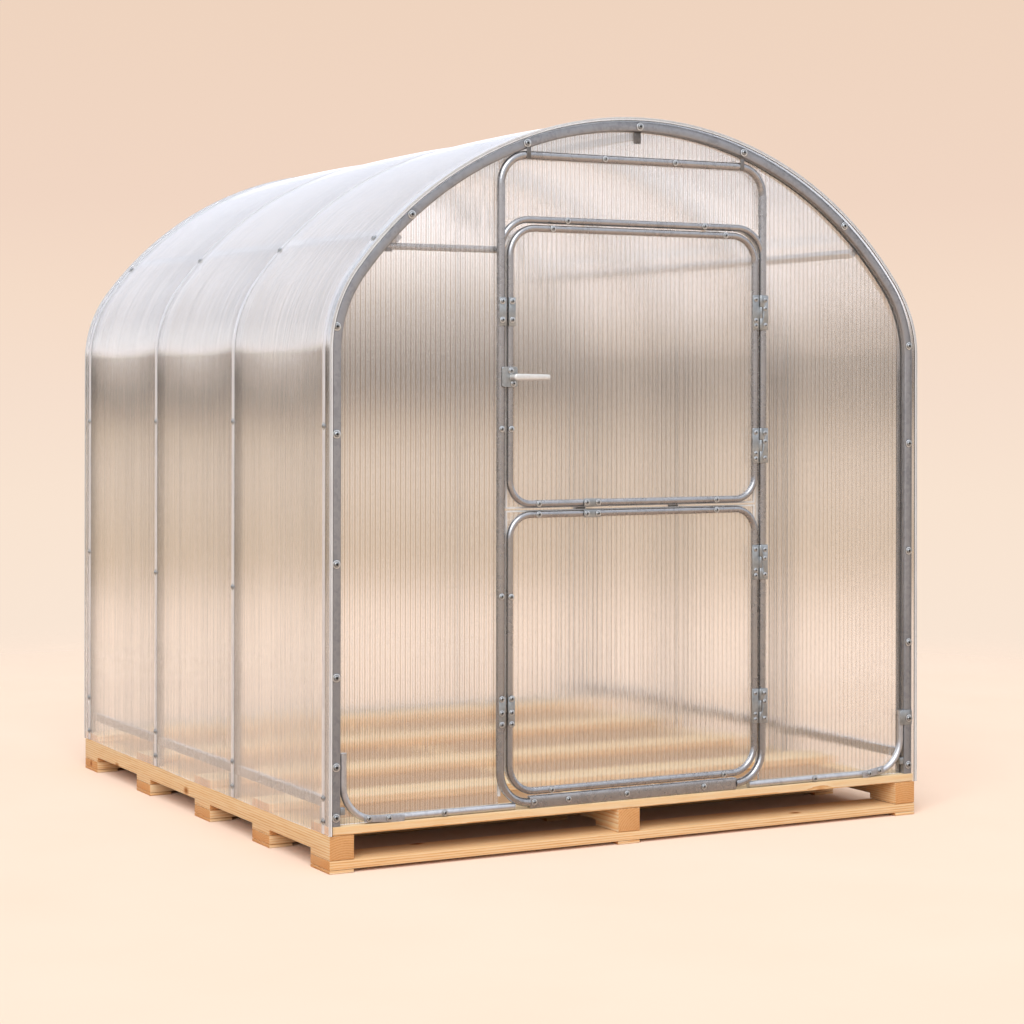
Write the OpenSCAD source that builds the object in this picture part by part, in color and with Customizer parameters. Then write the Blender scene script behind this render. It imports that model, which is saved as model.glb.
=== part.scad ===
// Small tunnel greenhouse on a timber pallet base.
// X runs along the gable, Y from the door to the rear, Z up from the ground.

/* [Greenhouse] */
// Width over the steel arches
house_w = 2000; // [1600:10:3000]
// Length of the pallet base, front to rear
house_l = 2110; // [1600:10:3200]
// Height of the spring line, where the walls start to curve, above the ground
spring_z = 1438; // [1200:1:1700]
// Rise of the arch above the spring line
arch_rise = 690; // [600:1:900]
// Radius of the two shoulder bends of the arch
shoulder_r = 380; // [250:1:480]

/* [Steel frame] */
// Depth of the hoop tube, square to the arch
hoop_t = 30; // [20:1:50]
// Width of the hoop tube, along the tunnel
hoop_w = 20; // [15:1:40]
// Diameter of the door frame tube
jamb_d = 24; // [20:1:30]
// Diameter of the base rail, header and door leaf tubes
rail_d = 20; // [16:1:24]
// Side of the square purlin tube
purlin_s = 20; // [15:1:30]
// Angle on the crown bend between its end and the shoulder purlins
purlin_past = 8.2; // [2:0.1:30]
// Height of the side rails above the ground
side_rail_z = 190; // [180:1:400]
// Height of the side rail tube
side_rail_h = 26; // [15:1:30]
// Bend radius of the base rail's upturned ends
base_bend_r = 100; // [60:1:140]
// Height of the base rail's upturned ends above the deck
base_upturn = 200; // [160:1:400]

/* [Sheets] */
// Thickness of the twin-wall sheet
sheet_t = 10; // [6:1:16]
// Gap between the stringers and the cover's lower edge
cover_gap = 1; // [0.5:0.5:20]
// How far the cover's ends stop inside the ends of the base
cover_set = 5; // [0:1:20]
// Thickness of the metal strips over the cover
strip_t = 2; // [1:0.5:4]

/* [Door] */
// Offset of the door centre from the middle of the gable
door_x = -18; // [-60:1:60]
// Width between the centres of the door frame tubes
jamb_span = 902; // [700:1:1000]
// Gap between the door frame's top corners and the arch
frame_gap = 0.5; // [0.3:0.1:60]
// Height from the header tube up to the door frame's top bar
top_light_h = 185; // [90:1:300]
// Height of the line where the two leaves meet, above the ground
meet_z = 991; // [700:1:1200]
// Gap between a leaf and what stands beside it
leaf_gap = 7; // [5:0.5:12]
// Bend radius of the door frame's lower corners and of the header
frame_bend_r = 92; // [80:1:110]
// Bend radius of the leaf corners at header and sill
leaf_bend_r = 80; // [60:1:84]
// Bend radius of the leaf corners at the meeting line
meet_bend_r = 68; // [40:1:80]
// How far the leaf sheets stay inside the outer edge of the leaf frames
leaf_sheet_in = 2.5; // [0:0.5:8]
// Height of the sill bar
sill_h = 35; // [25:1:50]
// Length of a hinge
hinge_h = 105; // [60:1:140]
// Distance from the top of the upper leaf down to its top hinge
hinge_from_top = 240; // [80:1:300]
// Distance from the foot of the lower leaf up to its bottom hinge
hinge_from_foot = 208; // [80:1:300]
// Distance of the other two hinges from the line where the leaves meet
hinge_from_meet = 177; // [80:1:300]
// Distance from a leaf's free edge to the middle of the clasp plates
clasp_in = 278; // [60:1:400]
// Length of the clasp plates
clasp_l = 56; // [30:1:90]
// Height of the lever's pivot above the line where the leaves meet
lever_up = 381; // [200:1:600]
// Length of the lever from its pivot
lever_l = 112; // [80:1:140]

/* [Pallet] */
// Thickness of the pads under the pallet
pad_t = 10; // [6:1:20]
// Thickness of the bottom boards
bottom_t = 27; // [18:1:40]
// Height of the stringers
stringer_h = 68; // [50:1:120]
// Width of the stringers
stringer_w = 74; // [45:1:100]
// Depth of the cut-outs under the stringers, between the boards
notch_d = 16; // [8:1:30]
// Thickness of the deck boards
deck_t = 25; // [18:1:40]
// Width of the cross boards
board_w = 132; // [90:1:160]
// Thickness of the hardboard under the deck boards
underlay_t = 4; // [3:0.5:8]
// How far the hardboard stays back from the front and the rear
underlay_in = 30; // [0:5:100]
// Offset of the middle stringer from the centre line
mid_stringer_x = -44; // [-80:1:80]
// How far the stringers stand out past the steel arches
stringer_proud = 6; // [0:1:10]

/* [Hidden] */

$fn = 48;
// Facets of the large arcs
fn_arch = 180;
// Places of the cross boards between front and rear, as shares of the way
board_shares = [0, 0.217, 0.457, 0.729, 1];
// A play between pieces that are cut to fit
fit = 0.5;
// Play where a straight tube lies in the curve of a hoop
seat = 0.1;
// Angle by which neighbouring bends lap, so that they are one piece
lap = 0.0003;

// Rounds down to a tenth, so that bends, straights and neighbours meet exactly
function to_tenth(x) = floor(10 * x) / 10;

front_y = -house_l / 2;
half_w = house_w / 2;
stringer_out = half_w + stringer_proud;
bottom_z = pad_t;
stringer_z = bottom_z + bottom_t;
deck_under_z = stringer_z + stringer_h;
deck_z = deck_under_z + deck_t;
board_run = house_l - board_w;
stringer_xs = [-stringer_out + stringer_w / 2, mid_stringer_x, stringer_out - stringer_w / 2];

// Three-centred arch: two shoulder bends and one wide bend over the top
shoulder_x = half_w - shoulder_r;
crown_r = (pow(shoulder_x, 2) + pow(arch_rise, 2) - pow(shoulder_r, 2)) / (2 * (arch_rise - shoulder_r));
crown_z = spring_z + arch_rise;
crown_centre_z = crown_z - crown_r;
join_angle = atan2(crown_r - arch_rise, shoulder_x);
purlin_angle = join_angle + purlin_past;
purlin_r = crown_r - hoop_t - purlin_s / 2 - seat;
purlin_reach = purlin_s / 2 * (sin(purlin_angle) + cos(purlin_angle));
tie_z = crown_centre_z + purlin_r * sin(purlin_angle) - purlin_reach - rail_d / 2 - fit;

// Height of the arch's inner face over the crown, at a distance from the middle
function crown_in_z(x) = crown_centre_z + sqrt(pow(crown_r - hoop_t, 2) - pow(x, 2));

// Layers of the gable, measured inwards from the end of the base
gable_set = 4;
gable_depth = hoop_w;
panel_in = gable_set + gable_depth;
hoop_in = panel_in + sheet_t;
hoop_run = house_l - 2 * hoop_in - hoop_w;
hoop_ys = [for (i = [0:3]) to_tenth(front_y + hoop_in + hoop_run * i / 3)];
cover_l = house_l - 2 * cover_set;
cover_y = -cover_l / 2;
// The gable sheets stop this far inside the arch line
panel_inset = 2;

// Door, in the plane of the gable
jamb_y = front_y + panel_in - jamb_d / 2;
leaf_y = front_y + panel_in - jamb_d + rail_d / 2;
rail_y = front_y + panel_in - rail_d / 2;
jamb_half = jamb_span / 2;
leaf_half = jamb_half - jamb_d / 2 - leaf_gap;
sill_top_z = deck_z + sill_h;
frame_top_bend_r = 85;
frame_low_bend_r = 95;
// The top bend lies inside the crown bend, so its centre is this far from the crown's centre
corner_reach = crown_r - hoop_t - frame_gap - frame_top_bend_r - jamb_d / 2;
corner_x = abs(door_x) + jamb_half - frame_top_bend_r;
corner_z = crown_centre_z + sqrt(pow(corner_reach, 2) - pow(corner_x, 2));
jamb_top_z = to_tenth(corner_z + frame_top_bend_r);
header_z = jamb_top_z - top_light_h;
leaf_end_gap = 5;
leaf_top_z = header_z - rail_d / 2 - leaf_end_gap;
// The leaf tubes stop this far above and below the meeting line, the sheets nearer to it
meet_up = 6;
meet_down = 5;
meet_sheet_gap = 3;
leaf_low_z = sill_top_z + leaf_end_gap;
leaf_face_y = front_y + panel_in - jamb_d;

// Hinges: plates on the front of the tubes, knuckles in front of the gap
plate_t = 3;
plate_w = 24;
knuckle_d = 8;
pin_d = 4;
pin_play = 0.3;
hinge_x = jamb_half - jamb_d / 2 - leaf_gap / 2;
hinge_y = leaf_face_y - knuckle_d / 2;
hinge_zs_upper = [meet_z + hinge_from_meet, leaf_top_z - hinge_from_top];
hinge_zs_lower = [leaf_low_z + hinge_from_foot, meet_z - hinge_from_meet];
catch_w = 22;
catch_h = 82;
catch_z_upper = leaf_top_z - hinge_from_top - 12;
catch_z_lower = leaf_low_z + hinge_from_foot + 36;
lever_x = -leaf_half + rail_d / 2;
lever_z = meet_z + lever_up;
lever_plate_w = 28;
lever_plate_h = 58;
lever_bar_h = 16;
lever_bar_t = 8;
lever_stem_d = 16;
lever_stem_l = 24;

timber = [0.93, 0.75, 0.52];
hardboard = [0.45, 0.32, 0.21];
steel = [0.68, 0.69, 0.71];
clear_sheet = [0.92, 0.91, 0.90, 0.45];
zinc = [0.80, 0.81, 0.82];

// Bar bent to the arch, with its outer face `out` outside the arch line and legs down to z0
module arch_band(out, thick, y0, depth, z0) {
    for (side = [0, 1])
        mirror([side, 0, 0]) {
            translate([half_w + out - thick, y0, z0])
                cube([thick, depth, spring_z - z0]);
            translate([shoulder_x, y0, spring_z])
                bend_band(shoulder_r + out, thick, depth, 0, join_angle);
            translate([0, y0, crown_centre_z])
                bend_band(crown_r + out, thick, depth, join_angle - lap, 90 - join_angle + 2 * lap);
        }
}

// Part of a ring that stands upright, from one angle through a sweep
module bend_band(r_out, thick, depth, start, sweep) {
    translate([0, depth, 0])
        rotate([90, 0, 0])
            rotate([0, 0, start])
                rotate_extrude(angle = sweep, $fn = fn_arch)
                    translate([r_out - thick, 0])
                        square([thick, depth]);
}

// Points of the arch line moved in by a distance
function arch_points(inset, z0) = concat(
    [[half_w - inset, z0]],
    [for (i = [0:8]) let (a = join_angle * i / 8)
        [shoulder_x + (shoulder_r - inset) * cos(a), spring_z + (shoulder_r - inset) * sin(a)]],
    [for (i = [1:31]) let (a = join_angle + (180 - 2 * join_angle) * i / 32)
        [(crown_r - inset) * cos(a), crown_centre_z + (crown_r - inset) * sin(a)]],
    [for (i = [0:8]) let (a = 180 - join_angle + join_angle * i / 8)
        [-shoulder_x + (shoulder_r - inset) * cos(a), spring_z + (shoulder_r - inset) * sin(a)]],
    [[-half_w + inset, z0]]);

// Flat sheet that fills the arch
module arch_plate(inset, y0, thick, z0) {
    translate([0, y0 + thick, 0])
        rotate([90, 0, 0])
            linear_extrude(thick)
                polygon(arch_points(inset, z0));
}

// Quarter bend of round tube, upright, about its bend centre
module tube_bend(r, d, start) {
    rotate([90, 0, 0])
        rotate([0, 0, start])
            rotate_extrude(angle = 90)
                translate([r, 0])
                    circle(d = d);
}

module tube_up(d, len) {
    cylinder(d = d, h = len);
}

module tube_across(d, len) {
    rotate([0, 90, 0])
        cylinder(d = d, h = len);
}

// Closed loop of round tube with its own bends at the top and the bottom
module tube_loop(half, z_low, z_top, r_low, r_top, d) {
    for (side = [-1, 1]) {
        translate([side * half, 0, z_low + r_low])
            tube_up(d, z_top - r_top - z_low - r_low);
        translate([side * (half - r_top), 0, z_top - r_top])
            tube_bend(r_top, d, side > 0 ? 0 : 90);
        translate([side * (half - r_low), 0, z_low + r_low])
            tube_bend(r_low, d, side > 0 ? 270 : 180);
    }
    translate([-half + r_top, 0, z_top])
        tube_across(d, 2 * (half - r_top));
    translate([-half + r_low, 0, z_low])
        tube_across(d, 2 * (half - r_low));
}

module cross_boards(half_len, z, thick) {
    for (share = board_shares)
        translate([-half_len, front_y + board_run * share, z])
            cube([2 * half_len, board_w, thick]);
}

module foot_pads() {
    color(timber)
        for (x = stringer_xs, share = board_shares)
            translate([x - stringer_w / 2, front_y + board_run * share, 0])
                cube([stringer_w, board_w, pad_t]);
}

module bottom_boards() {
    color(timber)
        cross_boards(stringer_out, bottom_z, bottom_t);
}

module deck_boards() {
    color(timber)
        cross_boards(half_w, deck_under_z, deck_t);
}

// Two hardboard sheets that close the deck between the stringers
module deck_underlay() {
    color(hardboard)
        for (i = [0:1])
            translate([stringer_xs[i] + stringer_w / 2, front_y + underlay_in,
                deck_under_z - underlay_t])
                cube([stringer_xs[i + 1] - stringer_xs[i] - stringer_w, house_l - 2 * underlay_in,
                    underlay_t]);
}

// Stringer with its underside cut back between the cross boards
module stringer(x) {
    color(timber)
        translate([x - stringer_w / 2, front_y, stringer_z])
            difference() {
                cube([stringer_w, house_l, stringer_h]);
                for (i = [0:3])
                    translate([-1, board_run * board_shares[i] + board_w, -1])
                        cube([stringer_w + 2, board_run * (board_shares[i + 1] - board_shares[i]) - board_w,
                            notch_d + 1]);
            }
}

// The end hoops stand on the deck boards, the middle ones on the stringers
module hoop(i) {
    color(steel)
        arch_band(0, hoop_t, hoop_ys[i], hoop_w, i == 0 || i == 3 ? deck_z : deck_under_z);
}

module gable_arch(y0) {
    color(steel)
        arch_band(0, hoop_t, y0, gable_depth, deck_z);
}

module cover_sheet() {
    color(clear_sheet)
        arch_band(sheet_t, sheet_t, cover_y, cover_l, deck_under_z + cover_gap);
}

module cover_strips() {
    color(zinc)
        for (y0 = hoop_ys)
            arch_band(sheet_t + strip_t, strip_t, y0, hoop_w, deck_under_z + cover_gap);
}

// Side rail in three lengths between the hoops
module side_rail(side) {
    rail_t = 20;
    color(steel)
        for (i = [0:2])
            translate([side * (half_w - hoop_t / 2) - rail_t / 2, hoop_ys[i] + hoop_w,
                side_rail_z - side_rail_h / 2])
                cube([rail_t, hoop_ys[i + 1] - hoop_ys[i] - hoop_w, side_rail_h]);
}

// Purlin under the hoops at an angle on the crown bend
module purlin(angle) {
    color(steel)
        translate([purlin_r * cos(angle), hoop_ys[0] + fit, crown_centre_z + purlin_r * sin(angle)])
            rotate([0, 90 - angle, 0])
                translate([-purlin_s / 2, 0, -purlin_s / 2])
                    cube([purlin_s, hoop_ys[3] + hoop_w - hoop_ys[0] - 2 * fit, purlin_s]);
}

// Tie in the gable, from the left shoulder to the door frame
module gable_tie() {
    tie_half = sqrt(pow(crown_r - hoop_t - seat, 2) - pow(tie_z + rail_d / 2 - crown_centre_z, 2));
    color(steel)
        translate([-tie_half, front_y + hoop_in + rail_d / 2, tie_z])
            tube_across(rail_d, tie_half - jamb_half + door_x);
}

// Upright plates beside the hoop feet, behind the cover
module foot_plates() {
    wing = 20;
    color(zinc)
        for (side = [-1, 1], i = [0:3]) {
            base = i == 0 || i == 3 ? deck_z : deck_under_z;
            after = i < 3 ? [hoop_ys[i] + hoop_w] : [];
            before = i > 0 ? [hoop_ys[i] - wing] : [];
            for (y0 = concat(before, after))
                translate([side > 0 ? half_w - plate_t : -half_w, y0, base])
                    cube([plate_t, wing, side_rail_z - side_rail_h / 2 - base - cover_gap]);
        }
}

// One end of a base rail: the bend and its upright leg against the arch
module base_rail_end(side) {
    x = half_w - hoop_t - rail_d / 2;
    z = deck_z + rail_d / 2;
    translate([side * (x - base_bend_r), 0, z + base_bend_r])
        tube_bend(base_bend_r, rail_d, side > 0 ? 270 : 180);
    translate([side * x, 0, z + base_bend_r])
        tube_up(rail_d, base_upturn - rail_d / 2 - base_bend_r);
}

module base_rail_front() {
    x = half_w - hoop_t - rail_d / 2 - base_bend_r;
    stop = jamb_half - frame_low_bend_r / 2;
    color(steel)
        translate([0, rail_y, 0])
            difference() {
                union() {
                    for (side = [-1, 1])
                        base_rail_end(side);
                    translate([-x, 0, deck_z + rail_d / 2])
                        tube_across(rail_d, x - stop + door_x);
                    translate([stop + door_x, 0, deck_z + rail_d / 2])
                        tube_across(rail_d, x - stop - door_x);
                }
                translate([door_x, jamb_y - rail_y, 0])
                    door_frame_tube(jamb_d + fit);
            }
}

module base_rail_rear() {
    x = half_w - hoop_t - rail_d / 2 - base_bend_r;
    color(steel)
        translate([0, -rail_y, 0]) {
            for (side = [-1, 1])
                base_rail_end(side);
            translate([-x, 0, deck_z + rail_d / 2])
                tube_across(rail_d, 2 * x);
        }
}

// Flat plate that ties the right arch leg to the base rail, and the clips low on both legs
module corner_plates() {
    plate = 46;
    plate_up = 154;
    clip = 14;
    clip_h = 20;
    clip_up = 30;
    color(zinc) {
        translate([half_w - plate_t - plate, front_y + panel_in - max(rail_d, gable_depth) - plate_t,
                deck_z + plate_up])
            cube([plate, plate_t, plate]);
        for (side = [-1, 1])
            translate([side * (half_w - hoop_t - clip / 2) - clip / 2, front_y + gable_set + plate_t,
                    deck_z + clip_up])
                cube([clip, clip, clip_h]);
    }
}

module rear_posts() {
    foot_z = deck_z + rail_d;
    color(steel)
        for (side = [-1, 1])
            translate([side * jamb_half, -rail_y, foot_z])
                tube_up(rail_d, crown_in_z(jamb_half + rail_d / 2) - seat - foot_z);
}

module door_frame_tube(d) {
    low = deck_z + sill_h / 2;
    for (side = [-1, 1]) {
        translate([side * jamb_half, 0, low + frame_low_bend_r])
            tube_up(d, jamb_top_z - frame_top_bend_r - low - frame_low_bend_r);
        translate([side * (jamb_half - frame_top_bend_r), 0, jamb_top_z - frame_top_bend_r])
            tube_bend(frame_top_bend_r, d, side > 0 ? 0 : 90);
        translate([side * (jamb_half - frame_low_bend_r), 0, low + frame_low_bend_r])
            tube_bend(frame_low_bend_r, d, side > 0 ? 270 : 180);
    }
    translate([-jamb_half + frame_top_bend_r, 0, jamb_top_z])
        tube_across(d, 2 * (jamb_half - frame_top_bend_r));
}

module door_frame() {
    color(steel)
        translate([door_x, jamb_y, 0])
            door_frame_tube(jamb_d);
}

module door_header() {
    color(steel)
        translate([door_x, jamb_y, 0])
            difference() {
                union() {
                    for (side = [-1, 1])
                        translate([side * (jamb_half - frame_bend_r), 0, header_z - frame_bend_r])
                            tube_bend(frame_bend_r, rail_d, side > 0 ? 0 : 90);
                    translate([-jamb_half + frame_bend_r, 0, header_z])
                        tube_across(rail_d, 2 * (jamb_half - frame_bend_r));
                }
                for (side = [-1, 1])
                    translate([side * jamb_half, 0, header_z - 2 * frame_bend_r])
                        tube_up(jamb_d + fit, 3 * frame_bend_r);
            }
}

module door_sill() {
    half = jamb_half - frame_low_bend_r;
    color(steel)
        translate([door_x - half, rail_y - rail_d / 2, deck_z])
            cube([2 * half, rail_d, sill_h]);
}

module panel_window(x0, x1, z0) {
    translate([x0, front_y, z0])
        cube([x1 - x0, 2 * hoop_in, crown_z]);
}

module front_panel_left() {
    color(clear_sheet)
        intersection() {
            arch_plate(panel_inset, front_y + panel_in, sheet_t, deck_z);
            panel_window(-half_w - 1, door_x - jamb_half, 0);
        }
}

module front_panel_right() {
    color(clear_sheet)
        intersection() {
            arch_plate(panel_inset, front_y + panel_in, sheet_t, deck_z);
            panel_window(door_x + jamb_half, half_w + 1, 0);
        }
}

module front_panel_top() {
    color(clear_sheet)
        intersection() {
            arch_plate(panel_inset, front_y + panel_in, sheet_t, deck_z);
            panel_window(door_x - jamb_half + fit, door_x + jamb_half - fit, header_z);
        }
}

module rear_panel() {
    color(clear_sheet)
        arch_plate(panel_inset, -front_y - panel_in - sheet_t, sheet_t, deck_z);
}

module upper_leaf_frame() {
    color(steel)
        translate([door_x, leaf_y, 0])
            tube_loop(leaf_half - rail_d / 2, meet_z + meet_up + rail_d / 2, leaf_top_z - rail_d / 2,
                meet_bend_r, leaf_bend_r, rail_d);
}

module lower_leaf_frame() {
    color(steel)
        translate([door_x, leaf_y, 0])
            tube_loop(leaf_half - rail_d / 2, leaf_low_z + rail_d / 2, meet_z - meet_down - rail_d / 2,
                leaf_bend_r, meet_bend_r, rail_d);
}

// Leaf sheet behind its loop: square at the meeting line, rounded at the other end
module leaf_sheet(z0, z1, round_top) {
    half = leaf_half - leaf_sheet_in;
    r = leaf_bend_r + rail_d / 2 - leaf_sheet_in;
    flat_z0 = round_top ? z0 : z0 + r;
    flat_z1 = round_top ? z1 - r : z1;
    end_z = round_top ? z1 - r : z0;
    bend_z = round_top ? z1 - r : z0 + r;
    color(clear_sheet)
        translate([door_x, leaf_y + rail_d / 2, 0]) {
            translate([-half, 0, flat_z0])
                cube([2 * half, sheet_t, flat_z1 - flat_z0]);
            translate([-half + r, 0, end_z])
                cube([2 * (half - r), sheet_t, r]);
            for (side = [-1, 1])
                translate([side * (half - r), sheet_t, bend_z])
                    rotate([90, 0, 0])
                        rotate([0, 0, side > 0 ? (round_top ? 0 : 270) : (round_top ? 90 : 180)])
                            rotate_extrude(angle = 90)
                                square([r, sheet_t]);
        }
}

module upper_leaf_sheet() {
    leaf_sheet(meet_z + meet_sheet_gap, leaf_top_z - leaf_sheet_in, true);
}

module lower_leaf_sheet() {
    leaf_sheet(leaf_low_z + leaf_sheet_in, meet_z - meet_sheet_gap, false);
}

// Fixed half of a hinge: plate, two outer knuckles and the pin
module hinge_fixed(z) {
    knuckle_h = hinge_h / 3;
    translate([door_x + hinge_x, hinge_y, z - hinge_h / 2]) {
        difference() {
            union() {
                cylinder(d = knuckle_d, h = hinge_h);
                translate([0, knuckle_d / 2 - plate_t, 0])
                    cube([plate_w + knuckle_d / 2, plate_t, hinge_h]);
            }
            translate([-knuckle_d, -knuckle_d, knuckle_h])
                cube([2 * knuckle_d, 2 * knuckle_d, knuckle_h]);
        }
        cylinder(d = pin_d, h = hinge_h);
    }
}

// Moving half of a hinge: plate and the middle knuckle round the pin
module hinge_moving(z) {
    knuckle_h = hinge_h / 3;
    clear_x = knuckle_d / 2 + 1;
    translate([door_x + hinge_x, hinge_y, z - hinge_h / 2])
        difference() {
            union() {
                translate([0, 0, knuckle_h + pin_play])
                    cylinder(d = knuckle_d, h = knuckle_h - 2 * pin_play);
                translate([-plate_w - knuckle_d / 2, knuckle_d / 2 - plate_t, 0])
                    cube([plate_w + knuckle_d / 2 - clear_x, plate_t, hinge_h]);
                translate([-clear_x, knuckle_d / 2 - plate_t, knuckle_h + pin_play])
                    cube([clear_x, plate_t, knuckle_h - 2 * pin_play]);
            }
            translate([0, 0, -1])
                cylinder(d = pin_d + 2 * pin_play, h = hinge_h + 2);
        }
}

module hinges_frame() {
    color(zinc)
        for (z = concat(hinge_zs_upper, hinge_zs_lower))
            hinge_fixed(z);
}

module hinges_upper() {
    color(zinc)
        for (z = hinge_zs_upper)
            hinge_moving(z);
}

module hinges_lower() {
    color(zinc)
        for (z = hinge_zs_lower)
            hinge_moving(z);
}

// Flat plate on the front of a tube
module face_plate(x, z, w, h) {
    translate([door_x + x - w / 2, leaf_face_y - plate_t, z - h / 2])
        cube([w, plate_t, h]);
}

module frame_catches() {
    color(zinc)
        for (z = [catch_z_upper, catch_z_lower])
            face_plate(-jamb_half, z, catch_w, catch_h);
}

module upper_leaf_plates() {
    color(zinc) {
        face_plate(-leaf_half + catch_w / 2, catch_z_upper, catch_w, catch_h);
        face_plate(-leaf_half + clasp_in, meet_z + meet_up + catch_w / 2, clasp_l, catch_w);
        face_plate(lever_x, lever_z, lever_plate_w, lever_plate_h);
    }
}

module lower_leaf_plates() {
    color(zinc) {
        face_plate(-leaf_half + catch_w / 2, catch_z_lower, catch_w, catch_h);
        face_plate(-leaf_half + clasp_in, meet_z - meet_down - catch_w / 2, clasp_l, catch_w);
    }
}

// Lever: a round stem out from the plate and a flat bar along it
module lever_handle() {
    color(zinc)
        translate([door_x + lever_x, leaf_face_y - plate_t, lever_z]) {
            rotate([90, 0, 0])
                cylinder(d = lever_stem_d, h = lever_stem_l + lever_bar_t);
            translate([0, -lever_stem_l - lever_bar_t, -lever_bar_h / 2])
                cube([lever_l - lever_bar_h / 2, lever_bar_t, lever_bar_h]);
            translate([lever_l - lever_bar_h / 2, -lever_stem_l, 0])
                rotate([90, 0, 0])
                    cylinder(d = lever_bar_h, h = lever_bar_t);
        }
}

foot_pads();
bottom_boards();
stringer(stringer_xs[0]);  // stringer_left
stringer(stringer_xs[1]);  // stringer_middle
stringer(stringer_xs[2]);  // stringer_right
deck_underlay();
deck_boards();
hoop(0);  // hoop_1
hoop(1);  // hoop_2
hoop(2);  // hoop_3
hoop(3);  // hoop_4
gable_arch(front_y + gable_set);  // gable_arch_front
gable_arch(-front_y - gable_set - gable_depth);  // gable_arch_rear
cover_sheet();
cover_strips();
side_rail(-1);  // side_rail_left
side_rail(1);  // side_rail_right
purlin(90);  // ridge_purlin
purlin(180 - purlin_angle);  // purlin_left
purlin(purlin_angle);  // purlin_right
gable_tie();
foot_plates();
base_rail_front();
base_rail_rear();
corner_plates();
rear_posts();
door_frame();
door_header();
door_sill();
front_panel_left();
front_panel_right();
front_panel_top();
rear_panel();
upper_leaf_frame();
upper_leaf_sheet();
lower_leaf_frame();
lower_leaf_sheet();
hinges_frame();
hinges_upper();
hinges_lower();
frame_catches();
upper_leaf_plates();
lower_leaf_plates();
lever_handle();
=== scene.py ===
"""Looks of the tunnel greenhouse: steel hoops and tubes, twin-wall sheets, screws and pine pallet."""
import math
import random

import bmesh
import bpy
from mathutils import Euler, Matrix, Vector
from mathutils.bvhtree import BVHTree


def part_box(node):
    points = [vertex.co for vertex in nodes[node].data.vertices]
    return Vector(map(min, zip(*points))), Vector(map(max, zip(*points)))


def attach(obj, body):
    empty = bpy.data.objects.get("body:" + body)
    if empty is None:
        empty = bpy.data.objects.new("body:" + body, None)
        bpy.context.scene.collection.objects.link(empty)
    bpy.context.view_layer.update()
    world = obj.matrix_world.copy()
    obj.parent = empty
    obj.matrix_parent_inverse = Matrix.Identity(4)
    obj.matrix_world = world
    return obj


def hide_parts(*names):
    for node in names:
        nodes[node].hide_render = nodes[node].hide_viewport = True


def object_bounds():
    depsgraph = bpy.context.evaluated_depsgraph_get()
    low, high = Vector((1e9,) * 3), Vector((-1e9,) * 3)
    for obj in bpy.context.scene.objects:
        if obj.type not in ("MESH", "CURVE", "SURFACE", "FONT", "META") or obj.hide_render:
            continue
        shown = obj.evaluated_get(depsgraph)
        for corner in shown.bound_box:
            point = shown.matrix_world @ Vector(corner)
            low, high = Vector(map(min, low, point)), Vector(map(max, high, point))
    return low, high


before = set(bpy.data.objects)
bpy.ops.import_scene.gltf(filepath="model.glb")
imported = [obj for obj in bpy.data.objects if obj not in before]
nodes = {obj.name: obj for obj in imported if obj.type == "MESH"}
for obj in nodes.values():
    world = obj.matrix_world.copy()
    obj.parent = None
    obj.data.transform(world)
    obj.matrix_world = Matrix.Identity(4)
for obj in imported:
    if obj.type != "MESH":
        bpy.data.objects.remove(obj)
cad_low, cad_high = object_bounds()
mm = 0.001


# ---------------------------------------------------------------- driving sizes, in metres

spring_z = 1438 * mm
shoulder_r = 380 * mm
flute_pitch = 15.6 * mm
skin = 0.9 * mm

half_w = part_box("hoop_2")[1].x
crown_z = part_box("hoop_2")[1].z
rise = crown_z - spring_z
shoulder_x = half_w - shoulder_r
crown_r = (shoulder_x ** 2 + rise ** 2 - shoulder_r ** 2) / (2 * (rise - shoulder_r))
crown_mid_z = crown_z - crown_r
join_angle = math.atan2(spring_z - crown_mid_z, shoulder_x)

cover_low, cover_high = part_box("cover_sheet")
cover_t = cover_high.z - crown_z
strip_t = cad_high.x - cover_high.x
hoop_names = ["hoop_1", "hoop_2", "hoop_3", "hoop_4"]
hoop_ys = [(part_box(name)[0].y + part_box(name)[1].y) / 2 for name in hoop_names]
hoop_half = (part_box("hoop_1")[1].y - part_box("hoop_1")[0].y) / 2
arch_face_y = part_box("gable_arch_front")[0].y
arch_back_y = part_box("gable_arch_rear")[1].y
arch_t = 30 * mm

jamb_d = 24 * mm
rail_d = 20 * mm
leaf_corner_r = 87.5 * mm
leaf_low_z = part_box("lower_leaf_frame")[0].z
leaf_top_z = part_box("upper_leaf_frame")[1].z
header_low_z = leaf_top_z + 5 * mm
meet_z = 991 * mm
door_x = (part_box("door_frame")[0].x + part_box("door_frame")[1].x) / 2
jamb_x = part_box("door_frame")[1].x - jamb_d / 2 - door_x
leaf_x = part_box("upper_leaf_frame")[1].x - rail_d / 2 - door_x
lever_z = 1372 * mm
latch_screws = ((-446 * mm, 1390 * mm), (-438 * mm, 1353 * mm))
board_w = 132 * mm
joint_gap = 0.7 * mm
board_shares = (0.0, 0.217, 0.457, 0.729, 1.0)


# ---------------------------------------------------------------- camera

def place_camera():
    lens = bpy.data.cameras.new("studio_camera")
    lens.sensor_width = 36.0
    lens.lens = 83.597
    lens.shift_y = -0.11777
    lens.clip_end = 200.0
    camera = bpy.data.objects.new("studio_camera", lens)
    bpy.context.scene.collection.objects.link(camera)
    turn = Matrix.Rotation(math.radians(-28.4282), 3, "Z")
    level = Matrix.Rotation(math.radians(90.0), 3, "X")
    roll = Matrix.Rotation(0.0017438, 3, "Z")
    camera.rotation_euler = (turn @ level @ roll).to_euler()
    camera.location = (-3.67946, -7.04223, 1.33071)
    bpy.context.scene.camera = camera


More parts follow.
